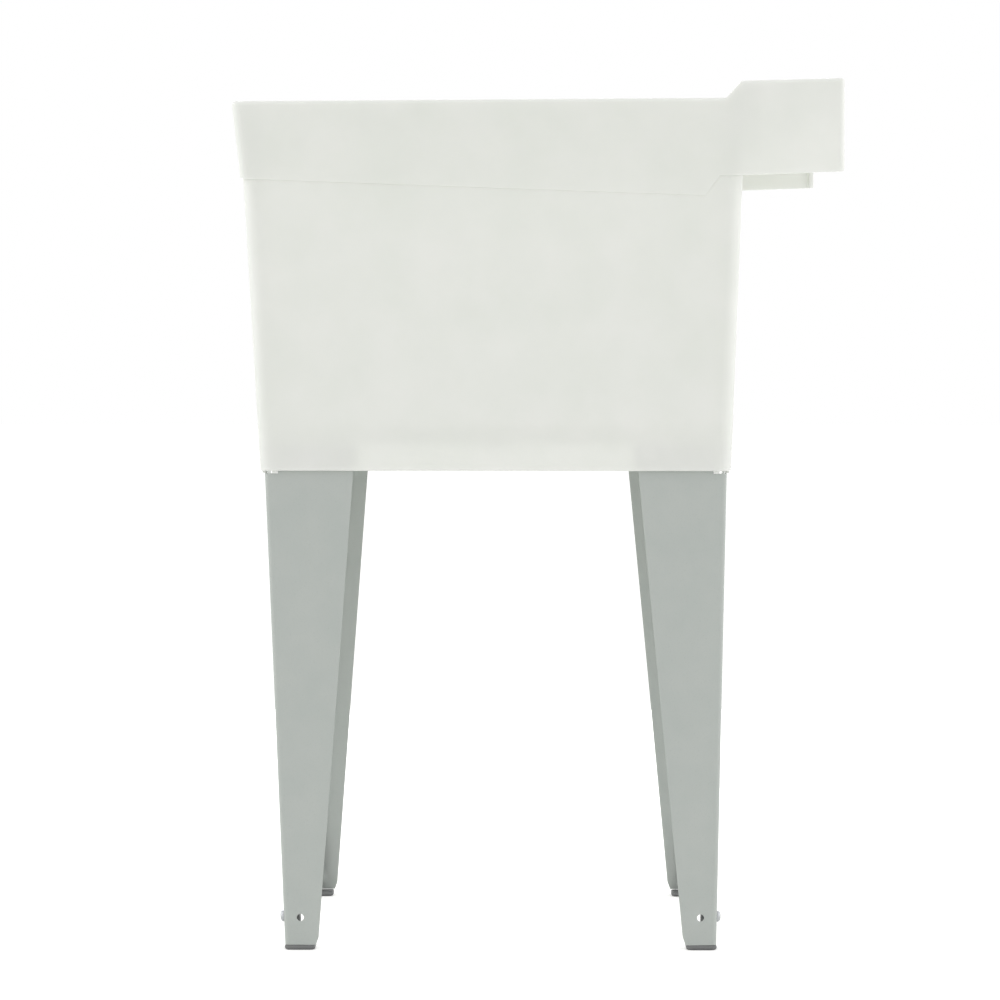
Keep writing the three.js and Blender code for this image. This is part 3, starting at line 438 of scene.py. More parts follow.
def is_upright(edge: Edge) -> bool:
    """Says whether an edge runs more up than along.

    Args:
        edge: The edge.

    Returns:
        True if it does.
    """
    start, end = edge_ends(edge)
    run = end - start
    return abs(run.z) > STANDS_UP * run.length


def runs_along(edge: Edge, axis: int, least: float) -> bool:
    """Says whether an edge runs along an axis by more than a length."""
    start, end = edge_ends(edge)
    return abs(start[axis] - end[axis]) > least


def is_at_bottom(edge: Edge, height: float) -> bool:
    """Says whether an edge lies at a height, or below it."""
    return max(end.z for end in edge_ends(edge)) < height + TINY


def joins(edge: Edge, start: Vector, end: Vector) -> bool:
    """Says whether an edge runs between two points."""
    return all(min((place - start).length, (place - end).length) < TINY for place in edge_ends(edge))


# ---------------------------------------------------------------------------
# Finishes
# ---------------------------------------------------------------------------


# Most values of a noise lie between these two.
NOISE_LOW, NOISE_HIGH = 0.3, 0.7
NOISE_ROUGHNESS = 0.55
# Noise values at which a speck starts and is full.
SPECK_START, SPECK_FULL = 0.62, 0.7
# Numbers of a Mix node's colour sockets.
MIX_FIRST, MIX_SECOND, MIX_RESULT = 6, 7, 2


def to_linear(hex_colour: str) -> tuple[float, float, float, float]:
    """Turns an sRGB hex colour into the linear colour that a shader takes, by the sRGB standard's curve.

    Args:
        hex_colour: Six hex digits.

    Returns:
        Linear red, green, blue and alpha.
    """
    values = [int(hex_colour[start:start + 2], 16) / 255 for start in (0, 2, 4)]
    linear = [value / 12.92 if value <= 0.04045 else ((value + 0.055) / 1.055) ** 2.4 for value in values]
    return (*linear, 1.0)


def add_node(tree: Tree, kind: str, inputs: dict | None = None, **settings) -> bpy.types.Node:
    """Adds a node with its settings and links.

    Args:
        tree: The node tree.
        kind: The node's type.
        inputs: Values or output sockets by input name or number.
        **settings: The node's own properties.

    Returns:
        The new node.
    """
    node = tree.nodes.new(kind)
    for name, value in settings.items():
        setattr(node, name, value)
    for name, value in (inputs or {}).items():
        if isinstance(value, Socket):
            tree.links.new(value, node.inputs[name])
        else:
            node.inputs[name].default_value = value
    return node


@dataclass(frozen=True)
class Finish:
    """A surface as it is made: its colour, its gloss and the texture that making it leaves."""

    name: str
    colour: str
    shade: str
    roughness: float
    blotch_mm: float
    grain_mm: float
    grain_depth_mm: float
    roughness_swing: float = 0.06
    wave_mm: float = 40
    wave_depth_mm: float = 0.05
    metallic: float = 0.0
    ior: float = 1.5
    speck: str = ""
    speck_mm: float = 1.5
    speck_share: float = 0.0
    scatter_mm: float = 0.0
    scatter: float = 0.0

    def noise(
        self, tree: Tree, place: Socket, size_mm: float, detail: float,
        roughness: float = NOISE_ROUGHNESS,
    ) -> Socket:
        """Adds a noise whose lumps have a real size.

        Args:
            tree: The node tree.
            place: The coordinates that it reads.
            size_mm: Size of a lump in millimetres.
            detail: Octaves of finer lumps.
            roughness: Strength of the finer lumps.

        Returns:
            The noise's value.
        """
        inputs = {"Vector": place, "Scale": 1 / (size_mm * MM), "Detail": detail, "Roughness": roughness}
        return add_node(tree, "ShaderNodeTexNoise", inputs).outputs["Fac"]

    def bump(self, tree: Tree, height: Socket, depth_mm: float, **under) -> Socket:
        """Adds a relief of a real depth.

        Args:
            tree: The node tree.
            height: The noise that it follows.
            depth_mm: Its depth in millimetres.
            **under: "Normal", the relief that it lies on, if any.

        Returns:
            The normal of the relief.
        """
        inputs = {"Height": height, "Strength": 1.0, "Distance": depth_mm * MM, **under}
        return add_node(tree, "ShaderNodeBump", inputs).outputs["Normal"]

    def material(self) -> bpy.types.Material:
        """Builds the finish as a node material that reads Object coordinates.

        Returns:
            The material.
        """
        known = bpy.data.materials.get(self.name)
        if known:
            return known
        material = bpy.data.materials.new(self.name)
        material.use_nodes = True
        tree = material.node_tree
        tree.nodes.clear()
        place = add_node(tree, "ShaderNodeTexCoord").outputs["Object"]
        blotch = self.noise(tree, place, self.blotch_mm, detail=3)
        spread = add_node(tree, "ShaderNodeMapRange", {
            "Value": blotch, "From Min": NOISE_LOW, "From Max": NOISE_HIGH,
        })
        mix = add_node(tree, "ShaderNodeMix", {
            "Factor": spread.outputs[0],
            MIX_FIRST: to_linear(self.colour),
            MIX_SECOND: to_linear(self.shade),
        }, data_type="RGBA")
        colour = mix.outputs[MIX_RESULT]
        if self.speck:
            colour = self.specks(tree, place, colour)
        grain = self.noise(tree, place, self.grain_mm, detail=4)
        wave = self.noise(tree, place, self.wave_mm, detail=2)
        gloss = add_node(tree, "ShaderNodeMapRange", {
            "Value": grain, "From Min": NOISE_LOW, "From Max": NOISE_HIGH,
            "To Min": self.roughness - self.roughness_swing,
            "To Max": self.roughness + self.roughness_swing,
        })
        broad = self.bump(tree, wave, self.wave_depth_mm)
        fine = self.bump(tree, grain, self.grain_depth_mm, Normal=broad)
        shader = add_node(tree, "ShaderNodeBsdfPrincipled", {
            "Base Color": colour, "Roughness": gloss.outputs[0], "Metallic": self.metallic, "IOR": self.ior,
            "Normal": fine,
        })
        if self.scatter_mm:
            shader.inputs["Subsurface Weight"].default_value = self.scatter
            shader.inputs["Subsurface Radius"].default_value = (1.0, 1.0, 1.0)
            shader.inputs["Subsurface Scale"].default_value = self.scatter_mm * MM
        add_node(tree, "ShaderNodeOutputMaterial", {"Surface": shader.outputs["BSDF"]})
        return material

    def specks(self, tree: Tree, place: Socket, colour: Socket) -> Socket:
        """Scatters small specks of another colour.

        Args:
            tree: The node tree.
            place: The coordinates that they read.
            colour: The colour under them.

        Returns:
            The colour with the specks on it.
        """
        cells = self.noise(tree, place, self.speck_mm, detail=1, roughness=0.5)
        mask = add_node(tree, "ShaderNodeMapRange", {
            "Value": cells, "From Min": SPECK_START, "From Max": SPECK_FULL, "To Max": self.speck_share,
        })
        mix = add_node(tree, "ShaderNodeMix", {
            "Factor": mask.outputs[0], MIX_FIRST: colour, MIX_SECOND: to_linear(self.speck),
        }, data_type="RGBA")
        return mix.outputs[MIX_RESULT]


# Injection-moulded polypropylene: satin white with a fine spark-eroded grain and a slight sink waviness.
MOULDED_WHITE = Finish(
    name="moulded_white_polypropylene", colour="E7E8E4", shade="E3E5E0", roughness=0.46, blotch_mm=60,
    grain_mm=1.6, grain_depth_mm=0.035, wave_mm=55, wave_depth_mm=0.12, ior=1.49, scatter_mm=7.0,
    scatter=0.65,
)
# Powder coat on folded steel sheet: flat grey with the orange peel of baked powder.
GREY_POWDER_COAT = Finish(
    name="grey_powder_coat", colour="B5BAB6", shade="B1B7B3", roughness=0.42, blotch_mm=35,
    grain_mm=2.2, grain_depth_mm=0.05, wave_mm=30, wave_depth_mm=0.05, speck="A4AAA6", speck_mm=1.4,
    speck_share=0.25,
)
# Moulded polyethylene foot: dull dark grey with scuffed highs.
FOOT_PLASTIC = Finish(
    name="dark_moulded_foot_plastic", colour="7A7B7B", shade="707272", roughness=0.6, blotch_mm=12,
    grain_mm=0.9, grain_depth_mm=0.04, speck="8B8C8C", speck_mm=1.1, speck_share=0.35,
)
# Bright zinc plate on steel fasteners: grey-white metal with a soft crystalline mottle.
ZINC_PLATE = Finish(
    name="bright_zinc_plate", colour="C9CBCD", shade="B9BCC0", roughness=0.3, blotch_mm=2.5,
    grain_mm=0.5, grain_depth_mm=0.012, roughness_swing=0.1, metallic=1.0,
)
# Drain body and locknut: denser gloss-white moulded plastic.
DRAIN_WHITE = Finish(
    name="gloss_white_drain_plastic", colour="E9E9E5", shade="E4E4E0", roughness=0.3, blotch_mm=25,
    grain_mm=1.2, grain_depth_mm=0.01, scatter_mm=3.0, scatter=0.2,
)
# Moulded black rubber: dull, with a faint bloom.
BLACK_RUBBER = Finish(
    name="moulded_black_rubber", colour="222323", shade="2E2F2F", roughness=0.72, blotch_mm=8,
    grain_mm=0.6, grain_depth_mm=0.02, speck="4A4B4A", speck_mm=2.0, speck_share=0.2,
)
# Vulcanised red fibre washer: matt, with pressed paper strands.
RED_FIBRE = Finish(
    name="vulcanised_red_fibre", colour="8C2C22", shade="6F2019", roughness=0.85, blotch_mm=3,
    grain_mm=0.7, grain_depth_mm=0.03,
)
# Drawn stainless wire: bright, with fine marks along the draw.
STAINLESS_WIRE = Finish(
    name="drawn_stainless_wire", colour="CBCCCE", shade="BEC0C2", roughness=0.22, blotch_mm=4,
    grain_mm=0.4, grain_depth_mm=0.006, roughness_swing=0.08, metallic=1.0,
)


def dress(piece: Piece, finish: Finish, stands_for: list[str], body: str = ROOT_BODY) -> None:
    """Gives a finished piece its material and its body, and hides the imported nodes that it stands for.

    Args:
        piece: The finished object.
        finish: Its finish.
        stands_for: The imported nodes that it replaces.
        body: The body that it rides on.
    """
    piece.data.materials.clear()
    piece.data.materials.append(finish.material())
    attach(piece, body)
    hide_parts(*stands_for)
    faces = len(piece.data.polygons)
    LOG.info("%s: %d faces, finish %s, rides on %s", piece.name, faces, finish.name, body)


# ---------------------------------------------------------------------------
# Studio: floor, light and camera
# ---------------------------------------------------------------------------


@dataclass
class Studio:
    """Plain pale floor, soft light and the camera at the photograph's viewing angle."""

    floor_reach: float = 30.0
    floor_colour: str = "F2F2F0"
    floor_lift: float = 0.3
    world_level: float = 0.935
    side_level: float = 15.0
    far_level: float = 48.0
    lamp_height: float = 1.1
    lamp_aim: float = 0.55
    side_size: float = 2.4
    side_distance: float = 2.6
    camera_place: tuple[float, float, float] = (4.8839, -0.01727, 0.59655)
    camera_yaw: float = 0.0042
    camera_pitch: float = -0.0329
    camera_roll: float = 0.0008
    focal_pixels: float = 4729.5
    image_pixels: float = 1000.0
    sensor_mm: float = 36.0
    farthest_seen: float = 200.0

    def build(self) -> None:
        """Builds the whole studio."""
        self.view_settings()
        self.world()
        self.floor()
        self.lamps()
        self.camera()

    def view_settings(self) -> None:
        """Sets the plain view transform."""
        bpy.context.scene.view_settings.view_transform = "Standard"

    def seen_rays(self, tree: Tree) -> Socket:
        """Adds up the rays that see the background: camera, glossy and transmission rays.

        Args:
            tree: The node tree.

        Returns:
            A value of 1 for those rays and 0 for the others.
        """
        path = add_node(tree, "ShaderNodeLightPath")
        either = add_node(tree, "ShaderNodeMath", {
            0: path.outputs["Is Camera Ray"], 1: path.outputs["Is Glossy Ray"],
        }, operation="MAXIMUM")
        total = add_node(tree, "ShaderNodeMath", {
            0: either.outputs[0], 1: path.outputs["Is Transmission Ray"],
        }, operation="MAXIMUM")
        return total.outputs[0]

    def world(self) -> None:
        """Lights the object evenly from all round, and shows as white."""
        world = bpy.data.worlds.new("studio_world")
        bpy.context.scene.world = world
        world.use_nodes = True
        tree = world.node_tree
        tree.nodes.clear()
        seen = self.seen_rays(tree)
        level = add_node(tree, "ShaderNodeMapRange", {
            "Value": seen, "To Min": self.world_level, "To Max": 1.0,
        })
        light = add_node(tree, "ShaderNodeBackground", {
            "Color": (1, 1, 1, 1), "Strength": level.outputs[0],
        })
        add_node(tree, "ShaderNodeOutputWorld", {"Surface": light.outputs[0]})

    def floor(self) -> None:
        """Lays a pale floor that keeps the object's shadow and shows as white beyond it."""
        deselect_all()
        bpy.ops.mesh.primitive_plane_add(size=self.floor_reach * 2)
        floor = bpy.context.active_object
        floor.name = "studio_floor"
        material = bpy.data.materials.new("pale_studio_floor")
        material.use_nodes = True
        tree = material.node_tree
        tree.nodes.clear()
        path = add_node(tree, "ShaderNodeLightPath")
        matt = add_node(tree, "ShaderNodeBsdfDiffuse", {"Color": to_linear(self.floor_colour)})
        lift = add_node(tree, "ShaderNodeMath", {
            0: path.outputs["Is Camera Ray"], 1: self.floor_lift,
        }, operation="MULTIPLY")
        glow = add_node(tree, "ShaderNodeEmission", {"Color": (1, 1, 1, 1), "Strength": lift.outputs[0]})
        both = add_node(tree, "ShaderNodeAddShader", {0: matt.outputs[0], 1: glow.outputs[0]})
        add_node(tree, "ShaderNodeOutputMaterial", {"Surface": both.outputs[0]})
        floor.data.materials.append(material)

    def lamps(self) -> None:
        """Hangs large soft lamps in front of the sink, behind it and on its far side."""
        reach = self.side_distance
        for name, level, x, y in (
            ("front_softbox", self.side_level, 0, -reach),
            ("back_softbox", self.side_level, 0, reach),
            ("far_softbox", self.far_level, -reach, 0),
        ):
            lamp = bpy.data.lights.new(name, "AREA")
            lamp.shape = "SQUARE"
            lamp.size = self.side_size
            lamp.energy = level
            item = bpy.data.objects.new(name, lamp)
            bpy.context.scene.collection.objects.link(item)
            item.location = (x, y, self.lamp_height)
            aim = Vector((0, 0, self.lamp_aim)) - item.location
            item.rotation_euler = aim.to_track_quat("-Z", "Y").to_euler()

    def camera(self) -> None:
        """Puts the camera where the photograph was taken from."""
        lens = bpy.data.cameras.new("photo_camera")
        lens.sensor_width = self.sensor_mm
        lens.lens = self.focal_pixels / self.image_pixels * self.sensor_mm
        lens.clip_end = self.farthest_seen
        item = bpy.data.objects.new("photo_camera", lens)
        bpy.context.scene.collection.objects.link(item)
        level = math.cos(self.camera_pitch)
        forward = Vector((
            -level * math.cos(self.camera_yaw),
            -level * math.sin(self.camera_yaw),
            math.sin(self.camera_pitch),
        ))
        turn = forward.to_track_quat("-Z", "Y").to_matrix().to_4x4()
        roll = Matrix.Rotation(self.camera_roll, 4, "Z")
        item.matrix_world = Matrix.Translation(Vector(self.camera_place)) @ turn @ roll
        bpy.context.scene.camera = item


# ---------------------------------------------------------------------------
# Tub
# ---------------------------------------------------------------------------


@dataclass
class Plan:
    """A plan of the tub at one height: half its width, its front line and its back line."""

    half_width: float
    front: float
    back: float

    def middle(self) -> float:
        """Returns the Y halfway between front and back."""
        return (self.front + self.back) / 2

    def depth(self) -> float:
        """Returns the distance from front to back."""
        return self.back - self.front


def tapered_box(name: str, low: Plan, low_z: float, high: Plan, high_z: float) -> Piece:
    """Adds a box whose top has another plan than its bottom.

    Args:
        name: The piece's name.
        low: Plan of the bottom.
        low_z: Height of the bottom.
        high: Plan of the top.
        high_z: Height of the top.

    Returns:
        The new object.
    """
    piece = start_box(name, (-low.half_width, low.front, low_z), (low.half_width, low.back, high_z))
    spread = (high.half_width / low.half_width, high.depth() / low.depth(), 1)
    with editing(piece):
        pick(piece, Kind.POINT, lambda point: point.co.z > high_z - TINY)
        bpy.ops.transform.resize(value=spread, center_override=(0, low.middle(), high_z))
        bpy.ops.transform.translate(value=(0, high.middle() - low.middle(), 0))
    return piece


@dataclass
class MouldedTub:
    """The one-piece tub: bowl, rim with its stepped apron, raised back ledge and skirt."""

    width: float
    depth: float
    height: float
    rim_front_drop: float = 0.023
    rim_back_drop: float = 0.0193
    ledge_front_drop: float = 0.0027
    ledge_depth: float = 0.101
    step_run: float = 0.015
    rim_edge_radius: float = 0.0035
    apron_front_height: float = 0.076
    apron_middle_height: float = 0.092
    apron_ledge_front_height: float = 0.0726
    apron_ledge_back_height: float = 0.0682
    apron_step_back: float = 0.122
    apron_step_run: float = 0.015
    apron_front_lean: float = 0.113
    apron_side_lean: float = 0.034
    apron_corner_radius: float = 0.009
    apron_corner_zone: float = 0.02
    apron_edge_radius: float = 0.0009
    ledge_corner_radius: float = 0.005
    apron_thickness: float = 0.0045
    wall_plan_drop: float = 0.078
    apron_front_lap: float = 0.0023
    apron_side_lap: float = 0.001
    front_wall_draft: float = 0.0574
    back_wall_draft: float = 0.0354
    side_wall_draft: float = 0.0163
    back_wall_inset: float = 0.0993
    wall_corner_radius: float = 0.0135
    skirt_height: float = 0.0252
    skirt_thickness: float = 0.0042
    skirt_edge_radius: float = 0.0016
    bowl_depth: float = 0.331
    bowl_rim_thickness: float = 0.007
    bowl_corner_radius: float = 0.022
    floor_fillet: float = 0.018
    floor_fall: float = 0.005
    floor_thickness: float = 0.0055
    floor_area_least: float = 0.05
    rim_inner_radius: float = 0.004
    rim_inner_sink: float = 0.00002
    hollow_fillet: float = 0.002
    ledge_hollow_radius: float = 0.003
    tap_hole_radius: float = 0.016
    tap_hole_edge: float = 0.001
    tap_hole_break: float = 0.0003
    tap_hole_reach: float = 0.021
    tap_hole_pitch: float = 0.0508
    tap_row_back: float = 0.046
    dish_length: float = 0.096
    dish_width: float = 0.056
    dish_depth: float = 0.007
    dish_centre: float = 0.146
    dish_radius: float = 0.012
    dish_fillet: float = 0.004
    dish_wall: float = 0.003
    back_lip_height: float = 0.036
    back_return_width: float = 0.012
    back_opening_radius: float = 0.006
    gusset_thickness: float = 0.003
    gusset_reach: float = 0.034
    gusset_foot: float = 0.003
    gusset_clear_of_edge: float = 0.018
    gusset_backs: tuple[float, ...] = (0.050, 0.085)
    drain_radius: float = 0.038
    drain_flange: float = 0.0025
    drain_tube_radius: float = 0.024
    drain_boss_height: float = 0.005
    hole_clearance: float = 0.0004
    rib_thickness: float = 0.003
    rib_height: float = 0.012
    corner_segments: int = 14
    drain_steps: int = 96
    past: float = 0.005

    def __post_init__(self) -> None:
        """Works out the heights and lines that the sizes give."""
        self.front_y = -self.depth / 2
        self.back_y = self.depth / 2
        self.side_x = self.width / 2
        self.rim_z = self.height - self.rim_front_drop
        self.wall_plan_z = self.rim_z - self.wall_plan_drop
        self.bowl_z = self.rim_z - self.bowl_depth
        self.underside_z = self.bowl_z - self.floor_thickness
        self.skirt_z = self.underside_z - self.skirt_height
        step_top = self.back_y - self.ledge_depth
        apron_step_top = self.back_y - self.apron_step_back
        self.top_line = [
            (self.front_y, self.rim_z),
            (step_top - self.step_run, self.height - self.rim_back_drop),
            (step_top, self.height - self.ledge_front_drop),
            (self.back_y, self.height),
        ]
        self.apron_line = [
            (self.front_y, self.rim_z - self.apron_front_height),
            (apron_step_top - self.apron_step_run, self.rim_z - self.apron_middle_height),
            (apron_step_top, self.rim_z - self.apron_ledge_front_height),
            (self.back_y, self.rim_z - self.apron_ledge_back_height),
        ]
        self.drain_y = self.wall_plan(self.bowl_z, self.skirt_thickness).middle()
        self.tap_row_y = self.back_y - self.tap_row_back

    def along(self, line: Points, y: float) -> float:
        """Reads a height off a folded line.

        Args:
            line: The line's (y, z) points from front to back.
            y: Where it is read.

        Returns:
            The height there.
        """
        for (start, start_z), (end, end_z) in zip(line, line[1:]):
            if y <= end or end == line[-1][0]:
                return start_z + (end_z - start_z) * (y - start) / (end - start)
        return line[-1][1]

    def top_z(self, y: float) -> float:
        """Returns the height of the rim or ledge at y."""
        return self.along(self.top_line, y)

    def apron_z(self, y: float) -> float:
        """Returns the height of the apron's lower edge at y."""
        return self.along(self.apron_line, y)

    def wall_plan(self, z: float, inset: float = 0) -> Plan:
        """Works out the plan of the outer walls at a height.

        Args:
            z: The height.
            inset: How far the plan is moved in.

        Returns:
            The plan.
        """
        rise = z - self.wall_plan_z
        half = self.side_x - self.apron_side_lean * self.wall_plan_drop - self.apron_side_lap
        front = self.front_y + self.apron_front_lean * self.wall_plan_drop + self.apron_front_lap
        return Plan(
            half + self.side_wall_draft * rise - inset,
            front - self.front_wall_draft * rise + inset,
            self.back_y - self.back_wall_inset + self.back_wall_draft * rise - inset,
        )

    def bowl_plan(self, z: float, inset: float = 0) -> Plan:
        """Works out the plan of the bowl's inner walls at a height.

        Args:
            z: The height.
            inset: How far the plan is moved in.

        Returns:
            The plan.
        """
        low = self.wall_plan(self.bowl_z, self.skirt_thickness)
        high = self.wall_plan(self.rim_z, self.bowl_rim_thickness)
        share = (z - self.bowl_z) / self.bowl_depth
        return Plan(
            low.half_width + (high.half_width - low.half_width) * share - inset,
            low.front + (high.front - low.front) * share + inset,
            low.back + (high.back - low.back) * share - inset,
        )

    def build(self, legs: list["FoldedLeg"]) -> None:
        """Builds and dresses the tub.

        Args:
            legs: The right legs, which its sockets hold. The left ones mirror them.
        """
        tub = self.apron()
        combine(tub, self.ledge_hollow(), Combine.CUT)
        combine(tub, self.back_opening(), Combine.CUT)
        for side in (-1, 1):
            combine(tub, self.soap_dish(side, self.dish_wall), Combine.JOIN)
            combine(tub, self.soap_dish(side, 0), Combine.CUT)
            for back in self.gusset_backs:
                combine(tub, self.gusset(side, back), Combine.JOIN)
        combine(tub, self.walls(), Combine.JOIN)
        combine(tub, self.bowl(), Combine.CUT)
        combine(tub, self.under_hollow(), Combine.CUT)
        combine(tub, self.drain_boss(), Combine.JOIN)
        for rib in self.floor_ribs():
            combine(tub, rib, Combine.JOIN)
        for leg in legs:
            for wall in leg.socket():
                other_side = mirrored(wall, "left_wall")
                combine(tub, wall, Combine.JOIN)
                combine(tub, other_side, Combine.JOIN)
        for cut in self.drain_cuts() + self.tap_holes():
            combine(tub, cut, Combine.CUT)
        with editing(tub):
            close_up()
        tub.name = "moulded_tub"
        smooth(tub, angle=32)
        dress(tub, MOULDED_WHITE, ["tub"])

    def walls(self) -> Piece:
        """Shapes the drafted outer walls, up into the apron.

        Returns:
            The solid of the walls.
        """
        top = self.rim_z - self.rim_edge_radius * 2
        piece = tapered_box("walls", self.wall_plan(self.skirt_z), self.skirt_z, self.wall_plan(top), top)
        round_edges(piece, is_upright, self.wall_corner_radius, self.corner_segments)
        round_edges(
            piece, lambda edge: is_at_bottom(edge, self.skirt_z), self.skirt_edge_radius, segments=3,
        )
        return piece

    def apron(self) -> Piece:
        """Shapes the apron band and the raised ledge as one block with a rounded top edge.

        Returns:
            The block.
        """
        low_z = self.rim_z - self.apron_middle_height
        low, high = (-self.side_x, self.front_y, low_z), (self.side_x, self.back_y, self.rim_z)
        piece = start_box("apron", low, high)
        folds = sorted(y for y, z in self.top_line[1:-1] + self.apron_line[1:-1])
        with editing(piece):
            for y in folds:
                bpy.ops.mesh.select_all(action="SELECT")
                bpy.ops.mesh.bisect(plane_co=(0, y, 0), plane_no=(0, 1, 0))
            for y in [self.front_y, *folds, self.back_y]:
                self.shape_line(piece, y, low_z)
        front_limit = self.front_y + self.apron_corner_zone
        back_limit = self.back_y - TINY
        round_edges(
            piece, lambda edge: is_upright(edge) and max(end.y for end in edge_ends(edge)) < front_limit,
            self.apron_corner_radius, self.corner_segments,
        )
        round_edges(
            piece, lambda edge: is_upright(edge) and min(end.y for end in edge_ends(edge)) > back_limit,
            self.ledge_corner_radius, segments=6,
        )
        round_edges(piece, is_between, self.rim_edge_radius, segments=5)
        round_edges(
            piece, lambda edge: is_between(edge, upward=False), self.apron_edge_radius, segments=2,
        )
        return piece

    def shape_line(self, piece: Piece, y: float, low_z: float) -> None:
        """Lifts the block's top and bottom on one line across it, and draws its bottom in by the lean.

        Args:
            piece: The block, in edit mode.
            y: Where the line is.
            low_z: Height of the block's flat bottom.
        """
        apron_z = self.apron_z(y)
        drop = self.rim_z - apron_z
        pick(piece, Kind.POINT, lambda point: abs(point.co.y - y) < TINY and point.co.z > self.rim_z - TINY)
        bpy.ops.transform.translate(value=(0, 0, self.top_z(y) - self.rim_z))
        pick(piece, Kind.POINT, lambda point: abs(point.co.y - y) < TINY and point.co.z < low_z + TINY)
        is_front = y < self.front_y + TINY
        front_lean = self.apron_front_lean * drop if is_front else 0
        narrowing = 1 - self.apron_side_lean * drop / self.side_x
        bpy.ops.transform.resize(value=(narrowing, 1, 1), center_override=(0, y, low_z))
        bpy.ops.transform.translate(value=(0, front_lean, apron_z - low_z))

    def bowl(self) -> Piece:
        """Shapes the bowl's inside: drafted walls, floor fillet, fall to the drain and rounded rim.

        Returns:
            The solid that is cut out.
        """
        floor_z = self.bowl_z + self.floor_fall
        wall_top = self.rim_z - self.rim_inner_radius * 2
        piece = tapered_box("bowl", self.bowl_plan(floor_z), floor_z, self.bowl_plan(wall_top), wall_top)
        round_edges(piece, is_upright, self.bowl_corner_radius, self.corner_segments)
        round_edges(piece, lambda edge: is_at_bottom(edge, floor_z), self.floor_fillet, segments=8)
        self.shape_rim(piece, wall_top)
        least = self.floor_area_least
        with editing(piece):
            pick(piece, Kind.FACE, lambda face: face.normal.z < -LIES_LEVEL and face.calc_area() > least)
            bpy.ops.mesh.extrude_region_move(TRANSFORM_OT_translate={"value": (0, 0, -self.floor_fall)})
            reach = self.drain_radius + self.hole_clearance
            plan = self.bowl_plan(floor_z, self.floor_fillet)
            share = (reach / plan.half_width, reach * 2 / plan.depth(), 1)
            bpy.ops.transform.resize(value=share, center_override=(0, self.drain_y, self.bowl_z))
            close_up()
        return piece

    def shape_rim(self, piece: Piece, wall_top: float) -> None:
        """Flares the top of the bowl's block over the rim and ledge in a quarter round.

        Args:
            piece: The block.
            wall_top: Height of its flat top.
        """
        start = self.bowl_plan(wall_top)
        with editing(piece):
            pick(piece, Kind.FACE, lambda face: face.normal.z > LIES_LEVEL)
            for angle in quarter_turn(steps=5):
                flare = self.rim_inner_radius * (1 - math.cos(angle))
                drop = self.rim_inner_radius * (1 - math.sin(angle)) + self.rim_inner_sink
                end = self.bowl_plan(self.rim_z, -flare)
                self.raise_ring(piece, start, end, drop)
                start = end
            self.raise_ring(piece, start, start, -self.past)

    def raise_ring(self, piece: Piece, start: Plan, end: Plan, drop: float) -> None:
        """Extrudes the block's top to its next ring, which follows the rim's height less a drop.

        Args:
            piece: The block, in edit mode with its top selected.
            start: Plan of the ring that is there.
            end: Plan of the new ring.
            drop: How far the new ring lies under the rim and ledge.
        """
        bpy.ops.mesh.extrude_region_move(TRANSFORM_OT_translate={"value": (0, 0, MM)})
        spread = (end.half_width / start.half_width, end.depth() / start.depth(), 1)
        bpy.ops.transform.resize(value=spread, center_override=(0, start.middle(), 0))
        bpy.ops.transform.translate(value=(0, end.middle() - start.middle(), 0))
        self.follow_top(piece, drop)

    def follow_top(self, piece: Piece, drop: float, nearest: float = -math.inf) -> None:
        """Lowers or lifts the selected points to the rim and ledge less a drop.

        Args:
            piece: The piece in edit mode.
            drop: How far the points lie under the rim and ledge.
            nearest: Points in front of this Y take its height.
        """
        mesh = bmesh.from_edit_mesh(piece.data)
        for point in mesh.verts:
            if point.select:
                point.co.z = self.top_z(max(point.co.y, nearest)) - drop
        bmesh.update_edit_mesh(piece.data)

    def under_hollow(self) -> Piece:
        """Shapes the open space inside the skirt.

        Returns:
            The solid that is cut out.
        """
        low_z = self.skirt_z - self.past
        inset = self.skirt_thickness
        piece = tapered_box(
            "under_hollow", self.wall_plan(low_z, inset), low_z,
            self.wall_plan(self.underside_z, inset), self.underside_z,
        )
        round_edges(piece, is_upright, self.wall_corner_radius - inset, self.corner_segments // 2)
        round_edges(piece, is_between, self.hollow_fillet, segments=3)
        return piece

    def ledge_plan(self, z: float) -> Plan:
        """Works out the plan of the hollow under the ledge at a height.

        Args:
            z: The height.

        Returns:
            The plan.
        """
        drop = max(self.rim_z - z, 0)
        half = self.side_x - self.apron_side_lean * drop - self.apron_thickness
        front = self.wall_plan(z).back - self.bowl_rim_thickness / 2
        return Plan(half, front, self.back_y - self.apron_thickness)

    def ledge_hollow(self) -> Piece:
        """Shapes the open space under the raised ledge, behind the bowl's back wall.

        Returns:
            The solid that is cut out.
        """
        low_z = self.rim_z - self.apron_middle_height - self.past
        high_z = self.rim_z
        step_top = self.top_line[2][0]
        piece = tapered_box("ledge_hollow", self.ledge_plan(low_z), low_z, self.ledge_plan(high_z), high_z)
        with editing(piece):
            pick(piece, Kind.FACE, lambda face: face.normal.z > LIES_LEVEL)
            self.follow_top(piece, self.apron_thickness, nearest=step_top)
        round_edges(piece, is_upright, self.ledge_hollow_radius, segments=3)
        round_edges(piece, is_between, self.hollow_fillet, segments=3)
        return piece

    def back_opening(self) -> Piece:
        """Shapes the opening in the ledge's back, between its returned edges and below its lip.

        Returns:
            The solid that is cut out.
        """
        half = self.side_x - self.back_return_width
        low_z = self.rim_z - self.apron_middle_height - self.past
        high_z = self.height - self.back_lip_height
        low = (-half, self.back_y - self.apron_thickness - MM, low_z)
        piece = start_box("back_opening", low, (half, self.back_y + self.past, high_z))
        round_edges(
            piece, lambda edge: runs_along(edge, Y_AXIS, MM) and edge_ends(edge)[0].z > high_z - TINY,
            self.back_opening_radius, segments=5,
        )
        return piece

